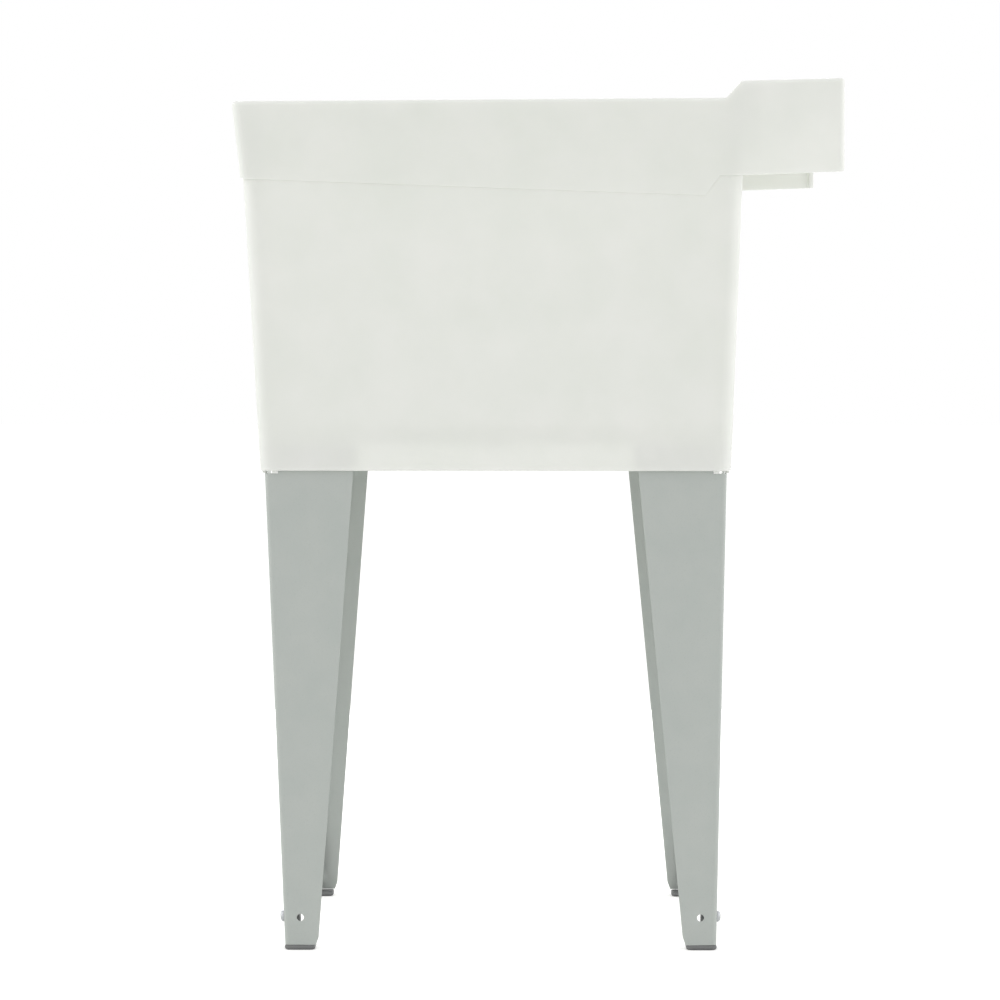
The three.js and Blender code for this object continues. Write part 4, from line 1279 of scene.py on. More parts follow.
    def soap_dish(self, side: int, wall: float) -> Piece:
        """Shapes one soap dish, grown outwards by a wall.

        Args:
            side: -1 for the left one, 1 for the right one.
            wall: 0 for the recess, or the thickness of the plastic under it.

        Returns:
            The recess or the bulge under the ledge.
        """
        x, y = side * self.dish_centre, self.tap_row_y
        deck = self.top_z(y)
        top = deck - self.apron_thickness / 2 if wall else deck + self.past
        bottom = deck - self.dish_depth - wall
        length, width = self.dish_length / 2 + wall, self.dish_width / 2 + wall
        piece = start_box("dish", (x - length, y - width, bottom), (x + length, y + width, top))
        round_edges(piece, is_upright, self.dish_radius + wall, segments=8)
        round_edges(piece, lambda edge: is_at_bottom(edge, bottom), self.dish_fillet, segments=5)
        return piece

    def gusset(self, side: int, back: float) -> Piece:
        """Shapes one web between the ledge's side and its deck.

        Args:
            side: -1 or 1.
            back: Its distance from the ledge's back.

        Returns:
            The web.
        """
        y = self.back_y - back
        outer = self.side_x - self.apron_thickness / 2
        deck = self.top_z(y) - self.apron_thickness / 2
        low = self.apron_z(y) + self.gusset_clear_of_edge
        half = self.gusset_thickness / 2
        xs = sorted((side * outer, side * (outer - self.gusset_reach)))
        piece = start_box("gusset", (xs[0], y - half, low), (xs[1], y + half, deck))
        inner = self.side_x - self.apron_thickness - self.gusset_foot
        with editing(piece):
            pick(piece, Kind.POINT, lambda point: point.co.z < low + TINY and abs(point.co.x) < outer - MM)
            bpy.ops.transform.translate(value=(side * (inner - outer + self.gusset_reach), 0, 0))
        return piece

    def drain_boss(self) -> Piece:
        """Shapes the boss that thickens the floor round the drain hole.

        Returns:
            The boss.
        """
        radius = self.drain_radius + self.hole_clearance + self.rib_thickness
        foot = Vector((0, self.drain_y, self.underside_z - self.drain_boss_height))
        return start_bar("boss", radius, foot, (0, 0, 1), self.drain_boss_height + MM, self.drain_steps)

    def floor_ribs(self) -> list[Piece]:
        """Shapes the ribs under the floor, from the drain boss to the skirt.

        Returns:
            The four ribs.
        """
        top, low = self.underside_z + MM, self.underside_z - self.rib_height
        half, y = self.rib_thickness / 2, self.drain_y
        plan = self.wall_plan(low, self.skirt_thickness / 2)
        start = self.drain_radius + self.hole_clearance
        return [
            start_box("rib", (start, y - half, low), (plan.half_width, y + half, top)),
            start_box("rib", (-plan.half_width, y - half, low), (-start, y + half, top)),
            start_box("rib", (-half, plan.front, low), (half, y - start, top)),
            start_box("rib", (-half, y + start, low), (half, plan.back, top)),
        ]

    def drain_cuts(self) -> list[Piece]:
        """Shapes the flange's seat and the hole for the drain's tube.

        Returns:
            The two solids that are cut out.
        """
        seat = self.drain_radius + self.hole_clearance
        tube = self.drain_tube_radius + self.hole_clearance
        boss_z = self.underside_z - self.drain_boss_height - self.past
        up = Vector((0, 0, 1))
        seat_foot = Vector((0, self.drain_y, self.bowl_z - self.drain_flange))
        tube_foot = Vector((0, self.drain_y, boss_z))
        return [
            start_bar("seat", seat, seat_foot, up, self.drain_flange + MM, self.drain_steps),
            start_bar("tube_hole", tube, tube_foot, up, self.bowl_z - boss_z, self.drain_steps),
        ]

    def tap_holes(self) -> list[Piece]:
        """Shapes the three tap holes, each with a small broken edge at the deck.

        Returns:
            The three solids that are cut out.
        """
        radius, edge, edge_break = self.tap_hole_radius, self.tap_hole_edge, self.tap_hole_break
        deck = self.top_z(self.tap_row_y)
        low, high = deck - self.tap_hole_reach, deck + self.past
        profile = [
            (0, low), (radius, low), (radius, deck - edge), (radius + edge_break, deck - edge_break),
            (radius + edge, deck), (radius + edge, high), (0, high),
        ]
        tilt = Matrix.Rotation(math.atan2(self.ledge_front_drop, self.ledge_depth), 4, "X")
        holes = []
        for place in (-1, 0, 1):
            centre = Vector((place * self.tap_hole_pitch, self.tap_row_y, 0))
            pivot = Matrix.Translation(centre + Vector((0, 0, deck)))
            hole = turned_piece("tap_hole", profile, centre)
            hole.data.transform(pivot @ tilt @ pivot.inverted())
            holes.append(hole)
        return holes


# ---------------------------------------------------------------------------
# Legs
# ---------------------------------------------------------------------------


@dataclass
class FoldedLeg:
    """One leg of folded steel sheet, on the user's right. Its corner leans in towards the floor."""

    tub: MouldedTub
    end: int
    lean: float
    sheet: float = 0.0015
    bend_radius: float = 0.0045
    top_width: float = 0.087
    foot_width: float = 0.0325
    bottom_z: float = 0.005
    notch_clear: float = 0.0039
    notch_drop: float = 0.0025
    toe_chamfer: float = 0.0025
    toe_chamfer_height: float = 0.009
    hole_radius: float = 0.0035
    hole_height: float = 0.032
    edge_radius: float = 0.0003
    socket_wall: float = 0.003
    socket_depth: float = 0.023
    tab_width: float = 0.0056
    lap: float = 0.001

    def __post_init__(self) -> None:
        """Works out where the leg stands in the tub's skirt."""
        self.skirt_z = self.tub.skirt_z
        self.top_z = self.tub.underside_z - GAP
        plan = self.tub.wall_plan(self.skirt_z, self.tub.skirt_thickness + GAP)
        self.side_x = plan.half_width
        self.corner_top = plan.front if self.end < 0 else plan.back
        self.notch = self.tub.wall_corner_radius - self.tub.skirt_thickness + self.notch_clear

    def corner_y(self, z: float) -> float:
        """Returns the Y of the folded corner at height z."""
        return self.corner_top - self.end * self.lean * (self.skirt_z - z)

    def width(self, z: float) -> float:
        """Returns a flange's width at height z."""
        share = (z - self.bottom_z) / (self.skirt_z - self.bottom_z)
        return self.foot_width + (self.top_width - self.foot_width) * share

    def point(self, across: float, along: float, z: float) -> Vector:
        """Finds a point from its distances in from the corner.

        Args:
            across: Distance in along the sink's width.
            along: Distance in along its depth.
            z: Height.

        Returns:
            The point.
        """
        return Vector((self.side_x - across, self.corner_y(z) - self.end * along, z))

    def bent_sheet(self) -> Piece:
        """Folds a tapering flat sheet along the leg's corner.

        Returns:
            The folded sheet.
        """
        deselect_all()
        bpy.ops.mesh.primitive_plane_add(size=2)
        piece = bpy.context.active_object
        piece.name = "sheet"
        low_z, high_z = self.bottom_z, self.top_z
        low_width, high_width = self.foot_width, self.width(high_z)
        low_fold, high_fold = self.point(0, 0, low_z), self.point(0, 0, high_z)
        corners = {
            (-1, -1): self.point(0, low_width, low_z),
            (1, -1): low_fold,
            (1, 1): high_fold,
            (-1, 1): self.point(0, high_width, high_z),
        }
        far_x = self.side_x - MM
        with editing(piece):
            for (start_x, start_y), goal in corners.items():
                start = Vector((start_x, start_y, 0))
                pick(piece, Kind.POINT, lambda point: (point.co - start).length < TINY)
                bpy.ops.transform.translate(value=goal - start)
            pick(piece, Kind.EDGE, lambda edge: joins(edge, low_fold, high_fold))
            bpy.ops.mesh.extrude_region_move(TRANSFORM_OT_translate={"value": (-low_width, 0, 0)})
            pick(piece, Kind.POINT, lambda point: point.co.x < far_x and point.co.z > high_z - TINY)
            bpy.ops.transform.translate(value=(low_width - high_width, 0, 0))
            bpy.ops.mesh.select_all(action="SELECT")
            bpy.ops.mesh.normals_make_consistent(inside=False)
            pick(piece, Kind.EDGE, lambda edge: joins(edge, low_fold, high_fold))
            bpy.ops.mesh.bevel(offset=self.bend_radius, offset_type="OFFSET", segments=8, affect="EDGES")
        modifier = piece.modifiers.new("Thickness", "SOLIDIFY")
        modifier.thickness = self.sheet
        modifier.offset = 1 if self.faces_inward(piece) else -1
        modifier.use_even_offset = True
        modifier.use_quality_normals = True
        apply_modifiers(piece)
        with editing(piece):
            close_up()
        return piece

    def faces_inward(self, piece: Piece) -> bool:
        """Says whether the open sheet's faces look into the leg's corner."""
        side = max(piece.data.polygons, key=lambda face: abs(face.normal.x) * face.area)
        return side.normal.x < 0

    def block(self, low: tuple[float, float, float], high: tuple[float, float, float]) -> Piece:
        """Shapes a block in the leg's own distances, following its lean.

        Args:
            low: Its (across, along, z) nearest the corner and lowest.
            high: Its (across, along, z) farthest from the corner and highest.

        Returns:
            The block.
        """
        start = self.point(low[0], low[1], low[2])
        end = self.point(high[0], high[1], low[2])
        corners = [Vector(map(pick_end, start, end)) for pick_end in (min, max)]
        corners[1].z = high[2]
        piece = start_box("leg_block", *corners)
        shift = self.corner_y(high[2]) - self.corner_y(low[2])
        with editing(piece):
            pick(piece, Kind.POINT, lambda point: point.co.z > high[2] - TINY)
            bpy.ops.transform.translate(value=(0, shift, 0))
        return piece

    def build(self, name: str) -> Piece:
        """Builds the leg.

        Args:
            name: Its name.

        Returns:
            The leg, not yet dressed.
        """
        leg = self.bent_sheet()
        leg.name = name
        notch_z = self.skirt_z - self.notch_drop
        notch_end = (self.notch, self.notch, self.top_z + self.lap)
        combine(leg, self.block((-self.lap, -self.lap, notch_z), notch_end), Combine.CUT)
        for is_side_flange in (True, False):
            self.chamfer_toe(leg, is_side_flange)
        for hole in self.holes():
            combine(leg, hole, Combine.CUT)
        soften(leg, self.edge_radius, angle=50)
        smooth(leg, angle=40)
        return leg

    def chamfer_toe(self, leg: Piece, is_side_flange: bool) -> None:
        """Cuts the chamfer off one flange's lower inner corner.

        Args:
            leg: The leg.
            is_side_flange: Cut the flange that faces sideways, not the one that faces front or back.
        """
        run = self.toe_chamfer + self.lap
        rise = self.toe_chamfer_height + self.lap
        start = self.foot_width - self.toe_chamfer
        z = self.bottom_z - self.lap
        if is_side_flange:
            place, outwards = self.point(0, start, z), Vector((0, -self.end * rise, -run))
        else:
            place, outwards = self.point(start, 0, z), Vector((-rise, 0, -run))
        outwards.normalize()
        with editing(leg):
            bpy.ops.mesh.select_all(action="SELECT")
            bpy.ops.mesh.bisect(plane_co=place, plane_no=outwards, use_fill=True, clear_outer=True)
            close_up()

    def holes(self) -> list[Piece]:
        """Shapes the bars that drill the two flanges at the foot's height.

        Returns:
            The two bars.
        """
        middle = self.foot_width / 2
        through_end = self.point(middle, -self.lap * 2, self.hole_height)
        through_side = self.point(-self.lap * 2, middle, self.hole_height)
        length = self.foot_width / 2
        return [
            start_bar("hole", self.hole_radius, through_end, (0, -self.end, 0), length),
            start_bar("hole", self.hole_radius, through_side, (-1, 0, 0), length),
        ]

    def screw_place(self) -> Matrix:
        """Works out the place of the foot's screw.

        Returns:
            The place: origin at the end flange's hole, Y into the leg.
        """
        lean = Matrix.Rotation(-math.atan(self.lean) * self.end, 4, "X")
        turn = Matrix.Rotation(math.pi if self.end > 0 else 0, 4, "Z")
        hole = self.point(self.foot_width / 2, 0, self.hole_height)
        return Matrix.Translation(hole) @ lean @ turn

    def socket(self) -> list[Piece]:
        """Shapes the walls in the skirt that hold the leg's flanges, and its locating tabs.

        Returns:
            The walls and the tabs.
        """
        low_z, high_z = self.tub.underside_z - self.socket_depth, self.tub.underside_z + self.lap
        inner = self.sheet + GAP
        stop = self.width(self.tub.underside_z) + GAP
        end, back = stop + self.socket_wall, inner + self.socket_wall
        reach, middle = -GAP - self.tub.skirt_thickness / 2, inner + self.socket_wall / 2
        tab_end = self.notch - GAP
        tab_start = tab_end - self.tab_width
        tab_z = self.skirt_z - self.notch_drop + GAP
        walls = self.block((inner, inner, low_z), (back, end, high_z))
        combine(walls, self.block((inner, inner, low_z), (end, back, high_z)), Combine.JOIN)
        low_corner, high_corner = self.point(inner, inner, low_z), self.point(inner, inner, high_z)
        fold = self.bend_radius - inner
        round_edges(
            walls, lambda edge: is_upright(edge) and joins(edge, low_corner, high_corner), fold, segments=6,
        )
        return [
            walls,
            self.block((stop, reach, low_z), (end, middle, high_z)),
            self.block((reach, stop, low_z), (middle, end, high_z)),
            self.block((reach, tab_start, tab_z), (self.sheet, tab_end, high_z)),
            self.block((tab_start, reach, tab_z), (tab_end, self.sheet, high_z)),
        ]


# ---------------------------------------------------------------------------
# Levelling feet and their fasteners
# ---------------------------------------------------------------------------


@dataclass
class LevellingFoot:
    """One moulded foot: a rounded square pad and the slotted stem that a screw clamps in the leg."""

    leg: FoldedLeg
    pad_size: float = 0.0294
    pad_height: float = 0.0047
    pad_bulge: float = 0.0006
    pad_bulge_height: float = 0.0028
    pad_tuck: float = 0.0016
    pad_tuck_height: float = 0.0008
    pad_radius: float = 0.005
    pad_edge: float = 0.0004
    stem_thickness: float = 0.0137
    stem_width: float = 0.020
    stem_height: float = 0.066
    stem_radius: float = 0.0015
    stem_top_edge: float = 0.0008
    travel: float = 0.022
    slot_width: float = 0.0068
    pocket_depth: float = 0.0092
    pocket_width: float = 0.0148
    past: float = 0.005

    def __post_init__(self) -> None:
        """Works out where the stem ends and where the pocket for the washer and the nut starts."""
        self.stem_start = self.leg.sheet + GAP
        self.stem_end = self.stem_start + self.stem_thickness
        self.pocket_start = self.stem_end - self.pocket_depth

    def build(self, name: str) -> Piece:
        """Builds the foot.

        Args:
            name: Its name.

        Returns:
            The foot, not yet dressed.
        """
        foot = self.pad()
        combine(foot, self.stem(), Combine.JOIN)
        combine(foot, self.slot(self.slot_width / 2, -self.past), Combine.CUT)
        combine(foot, self.slot(self.pocket_width / 2, self.pocket_start), Combine.CUT)
        foot.name = name
        smooth(foot, angle=40)
        return foot

    def pad(self) -> Piece:
        """Shapes the pad: tucked in at the floor and a little proud of the leg at its middle.

        Returns:
            The pad.
        """
        half = self.pad_size / 2
        centre = self.leg.point(half, half, self.leg.bottom_z)
        low = (centre.x - half, centre.y - half, 0)
        piece = start_box("pad", low, (centre.x + half, centre.y + half, self.pad_height))
        round_edges(piece, is_upright, self.pad_radius, segments=8)
        rings = {0: -self.pad_tuck, self.pad_tuck_height: 0, self.pad_bulge_height: self.pad_bulge}
        with editing(piece):
            for level in (self.pad_tuck_height, self.pad_bulge_height):
                bpy.ops.mesh.select_all(action="SELECT")
                bpy.ops.mesh.bisect(plane_co=(0, 0, level), plane_no=(0, 0, 1))
            for level, proud in rings.items():
                pick(piece, Kind.POINT, lambda point: abs(point.co.z - level) < TINY)
                spread = 1 + proud / half
                middle = (centre.x, centre.y, level)
                bpy.ops.transform.resize(value=(spread, spread, 1), center_override=middle)
        soften(piece, self.pad_edge, angle=30)
        return piece

    def stem(self) -> Piece:
        """Shapes the stem behind the leg's end flange, following its lean.

        Returns:
            The stem.
        """
        middle, half = self.leg.foot_width / 2, self.stem_width / 2
        piece = self.leg.block(
            (middle - half, self.stem_start, self.pad_height - MM),
            (middle + half, self.stem_end, self.stem_height),
        )
        round_edges(piece, is_upright, self.stem_radius, segments=4)
        round_edges(piece, is_between, self.stem_top_edge, segments=3)
        return piece

    def slot(self, radius: float, start: float) -> Piece:
        """Shapes a round-ended slot for the screw or its nut, square to the flange.

        Args:
            radius: Half its width.
            start: Depth in the leg at which it starts. It ends behind the stem's back.

        Returns:
            The slot.
        """
        end = self.stem_end + self.past
        piece = start_box("slot", (-radius, start, -radius), (radius, end, self.travel + radius))
        # The two rounds of an end stop just short of each other.
        corner = radius - MERGE
        round_edges(piece, lambda edge: runs_along(edge, Y_AXIS, self.past), corner, segments=10)
        return moved(piece, self.leg.screw_place())


@dataclass
class FootFastener:
    """The pan-head screw, washer and nut that clamp a foot. Their axis is Z until they are placed."""

    foot: LevellingFoot
    screw_radius: float = 0.003
    thread_depth: float = 0.00035
    thread_pitch: float = 0.001
    thread_start: float = 0.006
    head_radius: float = 0.0058
    head_height: float = 0.004
    head_edge: float = 0.001
    recess_span: float = 0.0064
    recess_width: float = 0.0013
    recess_depth: float = 0.0015
    recess_taper: tuple[float, float] = (0.6, 0.75)
    end: float = 0.002
    end_chamfer: float = 0.0008
    washer_radius: float = 0.007
    washer_thickness: float = 0.0012
    nut_across_flats: float = 0.010
    nut_height: float = 0.005
    nut_face_share: float = 0.95
    nut_chamfer_angle: float = 30
    edge: float = 0.0002

    def __post_init__(self) -> None:
        """Works out where the washer and the nut sit along the screw."""
        self.washer_start = self.foot.pocket_start + GAP
        self.nut_start = self.washer_start + self.washer_thickness + GAP
        self.length = self.nut_start + self.nut_height + self.end
        self.bore = self.screw_radius + GAP

    def screw(self) -> Piece:
        """Turns the screw with its domed head and its thread, and sinks the cross in the head.

        Returns:
            The screw, along Z.
        """
        seat = -GAP
        crown = seat - self.head_height
        dome = self.head_height - self.head_edge
        head, shank, edge = self.head_radius, self.screw_radius, self.edge
        profile = [
            (head * math.sin(angle), crown + dome * (1 - math.cos(angle)))
            for angle in quarter_turn(steps=7)
        ]
        profile += [(head, seat - edge), (head - edge, seat), (shank, seat), (shank, self.thread_start)]
        height = self.thread_start
        while height + self.thread_pitch < self.length - self.end_chamfer:
            profile.append((shank - self.thread_depth, height + self.thread_pitch / 2))
            height += self.thread_pitch
            profile.append((shank, height))
        profile += [(shank - self.end_chamfer, self.length), (0, self.length)]
        piece = turned_piece("screw", profile, Vector(), steps=32)
        for is_turned in (False, True):
            combine(piece, self.recess(crown, is_turned), Combine.CUT)
        smooth(piece)
        return piece

    def recess(self, crown: float, is_turned: bool) -> Piece:
        """Shapes one arm of the cross recess, narrower at its bottom.

        Args:
            crown: Height of the head's crown.
            is_turned: Lay the arm along Y, not along X.

        Returns:
            The arm.
        """
        span, width, depth = self.recess_span / 2, self.recess_width / 2, self.recess_depth
        piece = start_box("recess", (-span, -width, crown - depth), (span, width, crown + depth))
        with editing(piece):
            pick(piece, Kind.POINT, lambda point: point.co.z > crown)
            bpy.ops.transform.resize(value=(*self.recess_taper, 1), center_override=(0, 0, crown))
        turn = Matrix.Rotation(math.pi / 2 if is_turned else 0, 4, "Z")
        return moved(piece, turn)

    def washer(self) -> Piece:
        """Turns the flat washer, with its stamped edges a little round.

        Returns:
            The washer, along Z.
        """
        low, high = self.washer_start, self.washer_start + self.washer_thickness
        profile = ring_profile(self.bore, self.washer_radius, low, high, self.edge)
        piece = turned_piece("washer", profile, Vector(), steps=48)
        smooth(piece, angle=50)
        return piece

    def nut(self) -> Piece:
        """Cuts the hexagon nut, chamfered at both faces, with a countersunk bore.

        Returns:
            The nut, along Z.
        """
        low, high = self.nut_start, self.nut_start + self.nut_height
        flat = self.nut_across_flats / 2
        corner = flat / math.cos(math.pi / 6)
        piece = start_bar("nut", corner, (0, 0, low - MM), (0, 0, 1), self.nut_height + MM * 2, sides=6)
        face, rim = flat * self.nut_face_share, corner + MM
        fall = (rim - face) * math.tan(math.radians(self.nut_chamfer_angle))
        barrel = turned_piece("barrel", [
            (0, low), (face, low), (rim, low + fall), (rim, high - fall), (face, high), (0, high),
        ], Vector(), steps=48)
        combine(piece, barrel, Combine.KEEP)
        sink = self.edge * 2
        wide = self.bore + sink
        bore = turned_piece("bore", [
            (0, low - MM), (wide + MM, low - MM), (wide, low), (self.bore, low + sink),
            (self.bore, high - sink), (wide, high), (wide + MM, high + MM), (0, high + MM),
        ], Vector(), steps=32)
        combine(piece, bore, Combine.CUT)
        smooth(piece, angle=28)
        return piece

    def masters(self) -> dict[str, Piece]:
        """Models each fastener once, along Z."""
        return {"screw": self.screw(), "washer": self.washer(), "nut": self.nut()}


def placed_fastener(piece: Piece, leg: FoldedLeg, name: str) -> Piece:
    """Copies a fastener to its leg.

    Args:
        piece: The fastener, along Z.
        leg: The leg.
        name: The copy's name.

    Returns:
        The copy in its place, not yet dressed.
    """
    turn = Matrix.Rotation(-math.pi / 2, 4, "X")
    return moved(copied(piece, name), leg.screw_place() @ turn)


# ---------------------------------------------------------------------------
# Drain and stopper
# ---------------------------------------------------------------------------


@dataclass
class DrainFitting:
    """The drain in the bowl's floor: flanged body, gasket, fibre washer and locknut."""

    tub: MouldedTub
    flange_bevel: float = 0.002
    flange_edge: float = 0.0013
    wall: float = 0.004
    length: float = 0.0289
    seat_depth: float = 0.013
    seat_lip: float = 0.001
    thread_depth: float = 0.0006
    thread_pitch: float = 0.0021
    thread_root: tuple[float, float] = (0.4, 0.6)
    end_chamfer: float = 0.0008
    bar: float = 0.003
    bar_raise: float = 0.002
    bar_edge: float = 0.0006
    gasket_thickness: float = 0.003
    friction_thickness: float = 0.001
    nut_height: float = 0.009
    nut_radius: float = 0.035
    nut_wall: float = 0.006
    nut_flange_height: float = 0.003
    lug_count: int = 6
    lug_width: float = 0.005
    lap: float = 0.001
    edge: float = 0.0004

    def __post_init__(self) -> None:
        """Works out the stack's heights from the tub's floor."""
        self.centre = Vector((0, self.tub.drain_y, 0))
        self.flange_z = self.tub.bowl_z + GAP
        self.end_z = self.flange_z - self.length
        self.tube = self.tub.drain_tube_radius
        self.throat = self.tube - self.wall
        self.seat = self.tube - self.seat_lip
        self.gasket_z = self.tub.underside_z - self.tub.drain_boss_height - GAP
        self.friction_z = self.gasket_z - self.gasket_thickness - GAP
        self.nut_z = self.friction_z - self.friction_thickness - GAP

    def body(self) -> Piece:
        """Turns the body: soft-edged flange, tapered seat, threaded tube, and the strainer's cross.

        Returns:
            The body, not yet dressed.
        """
        flange, top, end, edge = self.tub.drain_radius, self.flange_z, self.end_z, self.edge
        under = top - self.tub.drain_flange
        shoulder = under + self.flange_edge
        profile = [
            (self.throat, end + edge), (self.throat + edge, end),
            (self.tube - self.end_chamfer, end), (self.tube, end + self.end_chamfer),
        ]
        height = end + self.end_chamfer
        while height + self.thread_pitch < self.gasket_z - self.gasket_thickness:
            for share in self.thread_root:
                profile.append((self.tube - self.thread_depth, height + self.thread_pitch * share))
            height += self.thread_pitch
            profile.append((self.tube, height))
        profile += [(self.tube, under), (flange - edge, under), (flange, under + edge)]
        for angle in quarter_turn(steps=4):
            radius = flange - self.flange_bevel * (1 - math.cos(angle))
            profile.append((radius, shoulder + (top - shoulder) * math.sin(angle)))
        profile += [
            (self.seat + edge, top), (self.seat, top - edge), (self.throat, top - self.seat_depth),
            (self.throat, end + edge),
        ]
        piece = turned_piece("drain_fitting_body", profile, self.centre, steps=72)
        for is_turned in (False, True):
            combine(piece, self.strainer_bar(is_turned), Combine.JOIN)
        smooth(piece, angle=30)
        return piece

    def strainer_bar(self, is_turned: bool) -> Piece:
        """Shapes one bar of the strainer's cross.

        Args:
            is_turned: Lay the bar along Y, not along X.

        Returns:
            The bar.
        """
        half, reach, low = self.bar / 2, self.tube - self.wall / 2, self.end_z + self.bar_raise
        piece = start_box("bar", (-reach, -half, low), (reach, half, low + self.bar))
        round_edges(piece, lambda edge: runs_along(edge, X_AXIS, reach), self.bar_edge, segments=2)
        turn = Matrix.Rotation(math.pi / 2 if is_turned else 0, 4, "Z")
        return moved(piece, Matrix.Translation(self.centre) @ turn)

    def ring(self, name: str, outer: float, top: float, thickness: float) -> Piece:
        """Turns a flat ring round the tube, with soft edges.

        Args:
            name: Its name.
            outer: Outer radius.
            top: Height of its top.
            thickness: Its thickness.

        Returns:
            The ring, not yet dressed.
        """
        edge = min(self.edge, thickness / 3)
        profile = ring_profile(self.tube + GAP, outer, top - thickness, top, edge)
        piece = turned_piece(name, profile, self.centre, steps=72)
        smooth(piece, angle=50)
        return piece

    def locknut(self) -> Piece:
        """Builds the locknut: collar, flange and the lugs that a hand grips.

        Returns:
            The locknut, not yet dressed.
        """
        piece = self.ring("drain_locknut_ring", self.tube + self.nut_wall, self.nut_z, self.nut_height)
        flange = self.ring("flange", self.nut_radius, self.nut_z, self.nut_flange_height)
        combine(piece, flange, Combine.JOIN)
        start, end = self.tube + self.nut_wall - self.lap, self.nut_radius - self.edge
        half, low = self.lug_width / 2, self.nut_z - self.nut_height + self.edge
        for lug in range(self.lug_count):
            bar = start_box("lug", (start, -half, low), (end, half, self.nut_z - self.lap))
            round_edges(
                bar, lambda edge: is_upright(edge) and edge_ends(edge)[0].x > end - TINY,
                self.lug_width / 3, segments=4,
            )
            turn = Matrix.Rotation(lug / self.lug_count * math.tau, 4, "Z")
            combine(piece, moved(bar, Matrix.Translation(self.centre) @ turn), Combine.JOIN)
        smooth(piece)
        return piece

    def build(self) -> None:
        """Builds and dresses the four pieces."""
        dress(self.body(), DRAIN_WHITE, ["drain_body"])
        seal = (self.tub.drain_radius, self.gasket_z, self.gasket_thickness)
        dress(self.ring("drain_rubber_gasket", *seal), BLACK_RUBBER, ["drain_gasket"])
        friction = (self.nut_radius, self.friction_z, self.friction_thickness)
        dress(self.ring("drain_fibre_washer", *friction), RED_FIBRE, ["drain_washer"])
        dress(self.locknut(), DRAIN_WHITE, ["drain_locknut"])


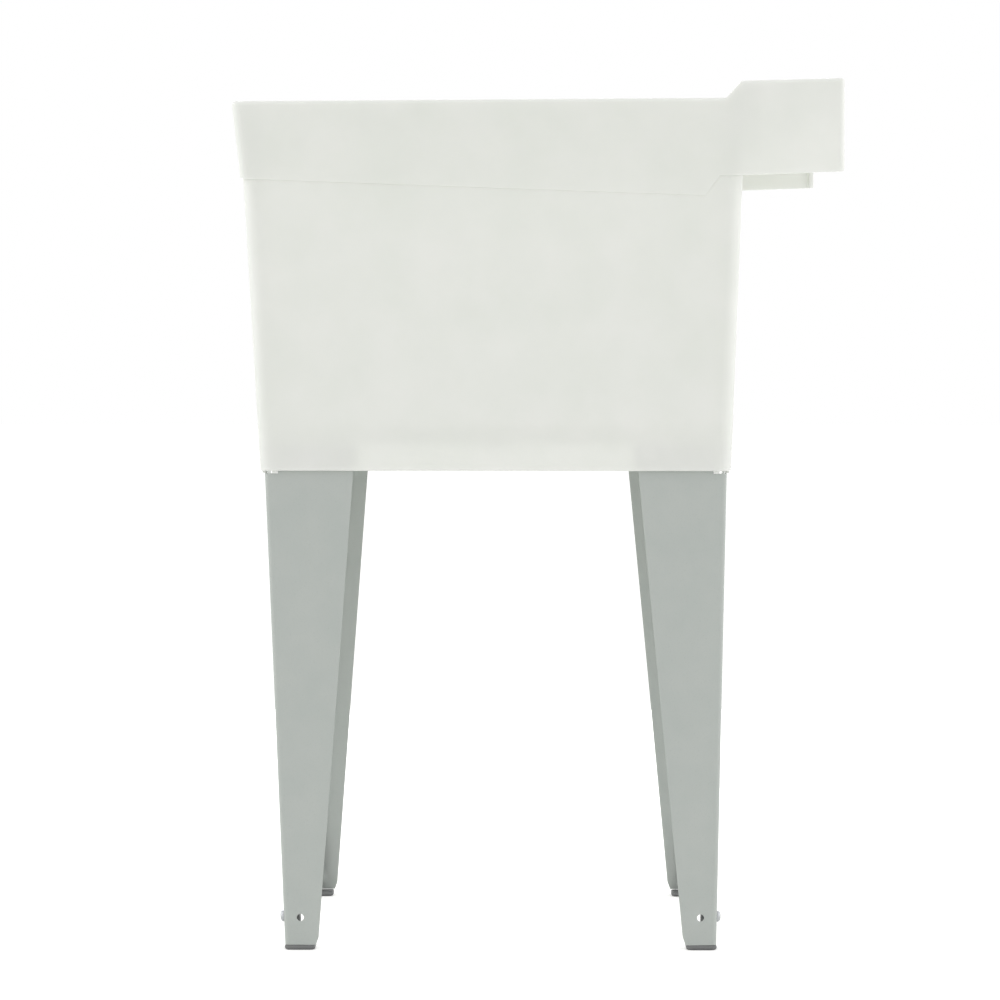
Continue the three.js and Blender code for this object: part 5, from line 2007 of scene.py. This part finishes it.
@dataclass
class Stopper:
    """The loose rubber stopper with its steel eye, and the pull ring that swings in the eye."""

    drain: DrainFitting
    cap_radius: float = 0.027
    cap_thickness: float = 0.004
    cap_edge: float = 0.002
    cap_dish_share: float = 0.74
    cap_dish_edge: float = 0.001
    cap_dish_depth: float = 0.0005
    plug_depth: float = 0.011
    plug_chamfer: float = 0.001
    chamfer_round: float = 0.3
    eye_radius: float = 0.0042
    eye_wire: float = 0.0011
    eye_foot_radius: float = 0.006
    eye_foot_thickness: float = 0.0016
    ring_radius: float = 0.011
    ring_wire: float = 0.001
    wire_sides: int = 16

    def __post_init__(self) -> None:
        """Works out the stopper's heights from the drain's flange."""
        self.centre = self.drain.centre
        self.cap_z = self.drain.flange_z + GAP
        self.top_z = self.cap_z + self.cap_thickness
        self.foot_z = self.top_z + GAP
        self.eye_z = self.foot_z + self.eye_foot_thickness + self.eye_radius

    def plug(self) -> Piece:
        """Turns the rubber plug: a tapered body under a soft-rimmed cap with a shallow dish in it.

        Returns:
            The plug, not yet dressed.
        """
        taper = (self.drain.seat - self.drain.throat) / self.drain.seat_depth
        top_radius = self.drain.seat - GAP * 2
        low = self.cap_z - self.plug_depth
        low_radius = top_radius - taper * self.plug_depth
        chamfer, edge = self.plug_chamfer, self.drain.edge
        rounded = chamfer * self.chamfer_round
        profile = [
            (0, low), (low_radius - chamfer, low), (low_radius - rounded, low + rounded),
            (low_radius + taper * chamfer, low + chamfer), (top_radius, self.cap_z),
            (self.cap_radius - edge, self.cap_z), (self.cap_radius, self.cap_z + edge),
        ]
        for angle in quarter_turn(steps=5):
            profile.append((
                self.cap_radius - self.cap_edge * (1 - math.cos(angle)),
                self.top_z - self.cap_edge * (1 - math.sin(angle)),
            ))
        dish, dish_z = self.cap_radius * self.cap_dish_share, self.top_z - self.cap_dish_depth
        profile += [(dish, self.top_z), (dish - self.cap_dish_edge, dish_z), (0, dish_z)]
        piece = turned_piece("rubber_stopper_plug", profile, self.centre)
        smooth(piece)
        return piece

    def wire_loop(self, name: str, radius: float, wire: float, steps: int) -> Piece:
        """Spins a wire's round section into a closed loop about Z.

        Args:
            name: The piece's name.
            radius: Radius of the loop's middle line.
            wire: Radius of the wire.
            steps: Steps round the loop.

        Returns:
            The loop, centred on the origin.
        """
        turns = [side / self.wire_sides * math.tau for side in range(self.wire_sides + 1)]
        section = [(radius + wire * math.cos(turn), wire * math.sin(turn)) for turn in turns]
        return turned_piece(name, section, Vector(), steps)

    def eye(self) -> Piece:
        """Builds the eye: a wire loop standing on a small round foot with a soft edge.

        Returns:
            The eye, not yet dressed.
        """
        edge, radius = self.drain.edge, self.eye_foot_radius
        low, high = self.foot_z, self.foot_z + self.eye_foot_thickness
        piece = turned_piece("stopper_wire_eye", [
            (0, low), (radius - edge, low), (radius, low + edge),
            (radius, high - edge * 2), (radius - edge * 2, high), (0, high),
        ], self.centre, steps=48)
        loop = self.wire_loop("loop", self.eye_radius, self.eye_wire, steps=48)
        combine(piece, moved(loop, self.eye_place() @ Matrix.Rotation(math.pi / 2, 4, "Y")), Combine.JOIN)
        smooth(piece, angle=40)
        return piece

    def eye_place(self) -> Matrix:
        """Returns the place of the eye's middle."""
        return Matrix.Translation(self.centre + Vector((0, 0, self.eye_z)))

    def pull_ring(self) -> Piece:
        """Builds the pull ring, lying from the eye down to the stopper's cap.

        Returns:
            The ring, not yet dressed.
        """
        piece = self.wire_loop("stopper_pull_ring", self.ring_radius, self.ring_wire, steps=64)
        drop = self.eye_z - self.top_z - self.ring_wire - GAP
        tilt = Matrix.Rotation(math.asin(drop / (self.ring_radius * 2)), 4, "X")
        shift = Matrix.Translation((0, -self.ring_radius, 0))
        moved(piece, self.eye_place() @ tilt @ shift)
        smooth(piece, angle=60)
        return piece

    def build(self) -> None:
        """Builds and dresses the three pieces."""
        dress(self.plug(), BLACK_RUBBER, ["drain_stopper"], "stopper")
        dress(self.eye(), STAINLESS_WIRE, ["stopper_eye"], "stopper")
        dress(self.pull_ring(), STAINLESS_WIRE, ["stopper_ring"], "stopper_ring")


# ---------------------------------------------------------------------------
# Main
# ---------------------------------------------------------------------------


TUB_HEIGHT = 0.857
FRONT_LEG_LEAN = 0.0425
BACK_LEG_LEAN = 0.0201


@dataclass(frozen=True)
class LegPart:
    """What one kind of piece on the legs is called, and how it is finished and carried."""

    name: str
    node: str
    finish: Finish
    slot: str
    slides: bool = False

    def dress_pair(self, piece: Piece, end: str) -> None:
        """Dresses a right-hand piece and its mirror image on the left.

        Args:
            piece: The right-hand piece.
            end: "front" or "back".
        """
        other = mirrored(piece, f"{self.name}_{end}_left")
        for item, side in ((piece, "right"), (other, "left")):
            corner = f"{end}_{side}"
            body = f"foot_{corner}" if self.slides else ROOT_BODY
            dress(item, self.finish, [f"{self.node}_{corner}"], body)


LEG = LegPart("folded_leg", "leg", GREY_POWDER_COAT, "grey_steel")
FOOT = LegPart("levelling_foot", "foot", FOOT_PLASTIC, "foot_plastic", slides=True)


def build_leg_set(leg: FoldedLeg, fasteners: dict[str, Piece], end: str) -> None:
    """Builds a right leg with its foot and fasteners, and their mirror images on the left.

    Args:
        leg: The right leg.
        fasteners: The screw, washer and nut that are copied to it.
        end: "front" or "back".
    """
    LEG.dress_pair(leg.build(f"{LEG.name}_{end}_right"), end)
    FOOT.dress_pair(LevellingFoot(leg).build(f"{FOOT.name}_{end}_right"), end)
    for kind, master in fasteners.items():
        part = LegPart(f"clamp_{kind}", f"foot_{kind}", ZINC_PLATE, "zinc")
        part.dress_pair(placed_fastener(master, leg, f"{part.name}_{end}_right"), end)


def main() -> None:
    """Builds the studio and every sub-assembly in order."""
    logging.basicConfig(level=logging.INFO, format="%(message)s")
    Studio().build()
    low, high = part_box("tub")
    tub = MouldedTub(width=high.x - low.x, depth=high.y - low.y, height=TUB_HEIGHT)
    legs = {"front": FoldedLeg(tub, -1, FRONT_LEG_LEAN), "back": FoldedLeg(tub, 1, BACK_LEG_LEAN)}
    tub.build(list(legs.values()))
    fasteners = FootFastener(LevellingFoot(legs["front"])).masters()
    for end, leg in legs.items():
        build_leg_set(leg, fasteners, end)
    for master in fasteners.values():
        bpy.data.objects.remove(master, do_unlink=True)
    drain = DrainFitting(tub)
    drain.build()
    Stopper(drain).build()


if __name__ == "__main__":
    main()
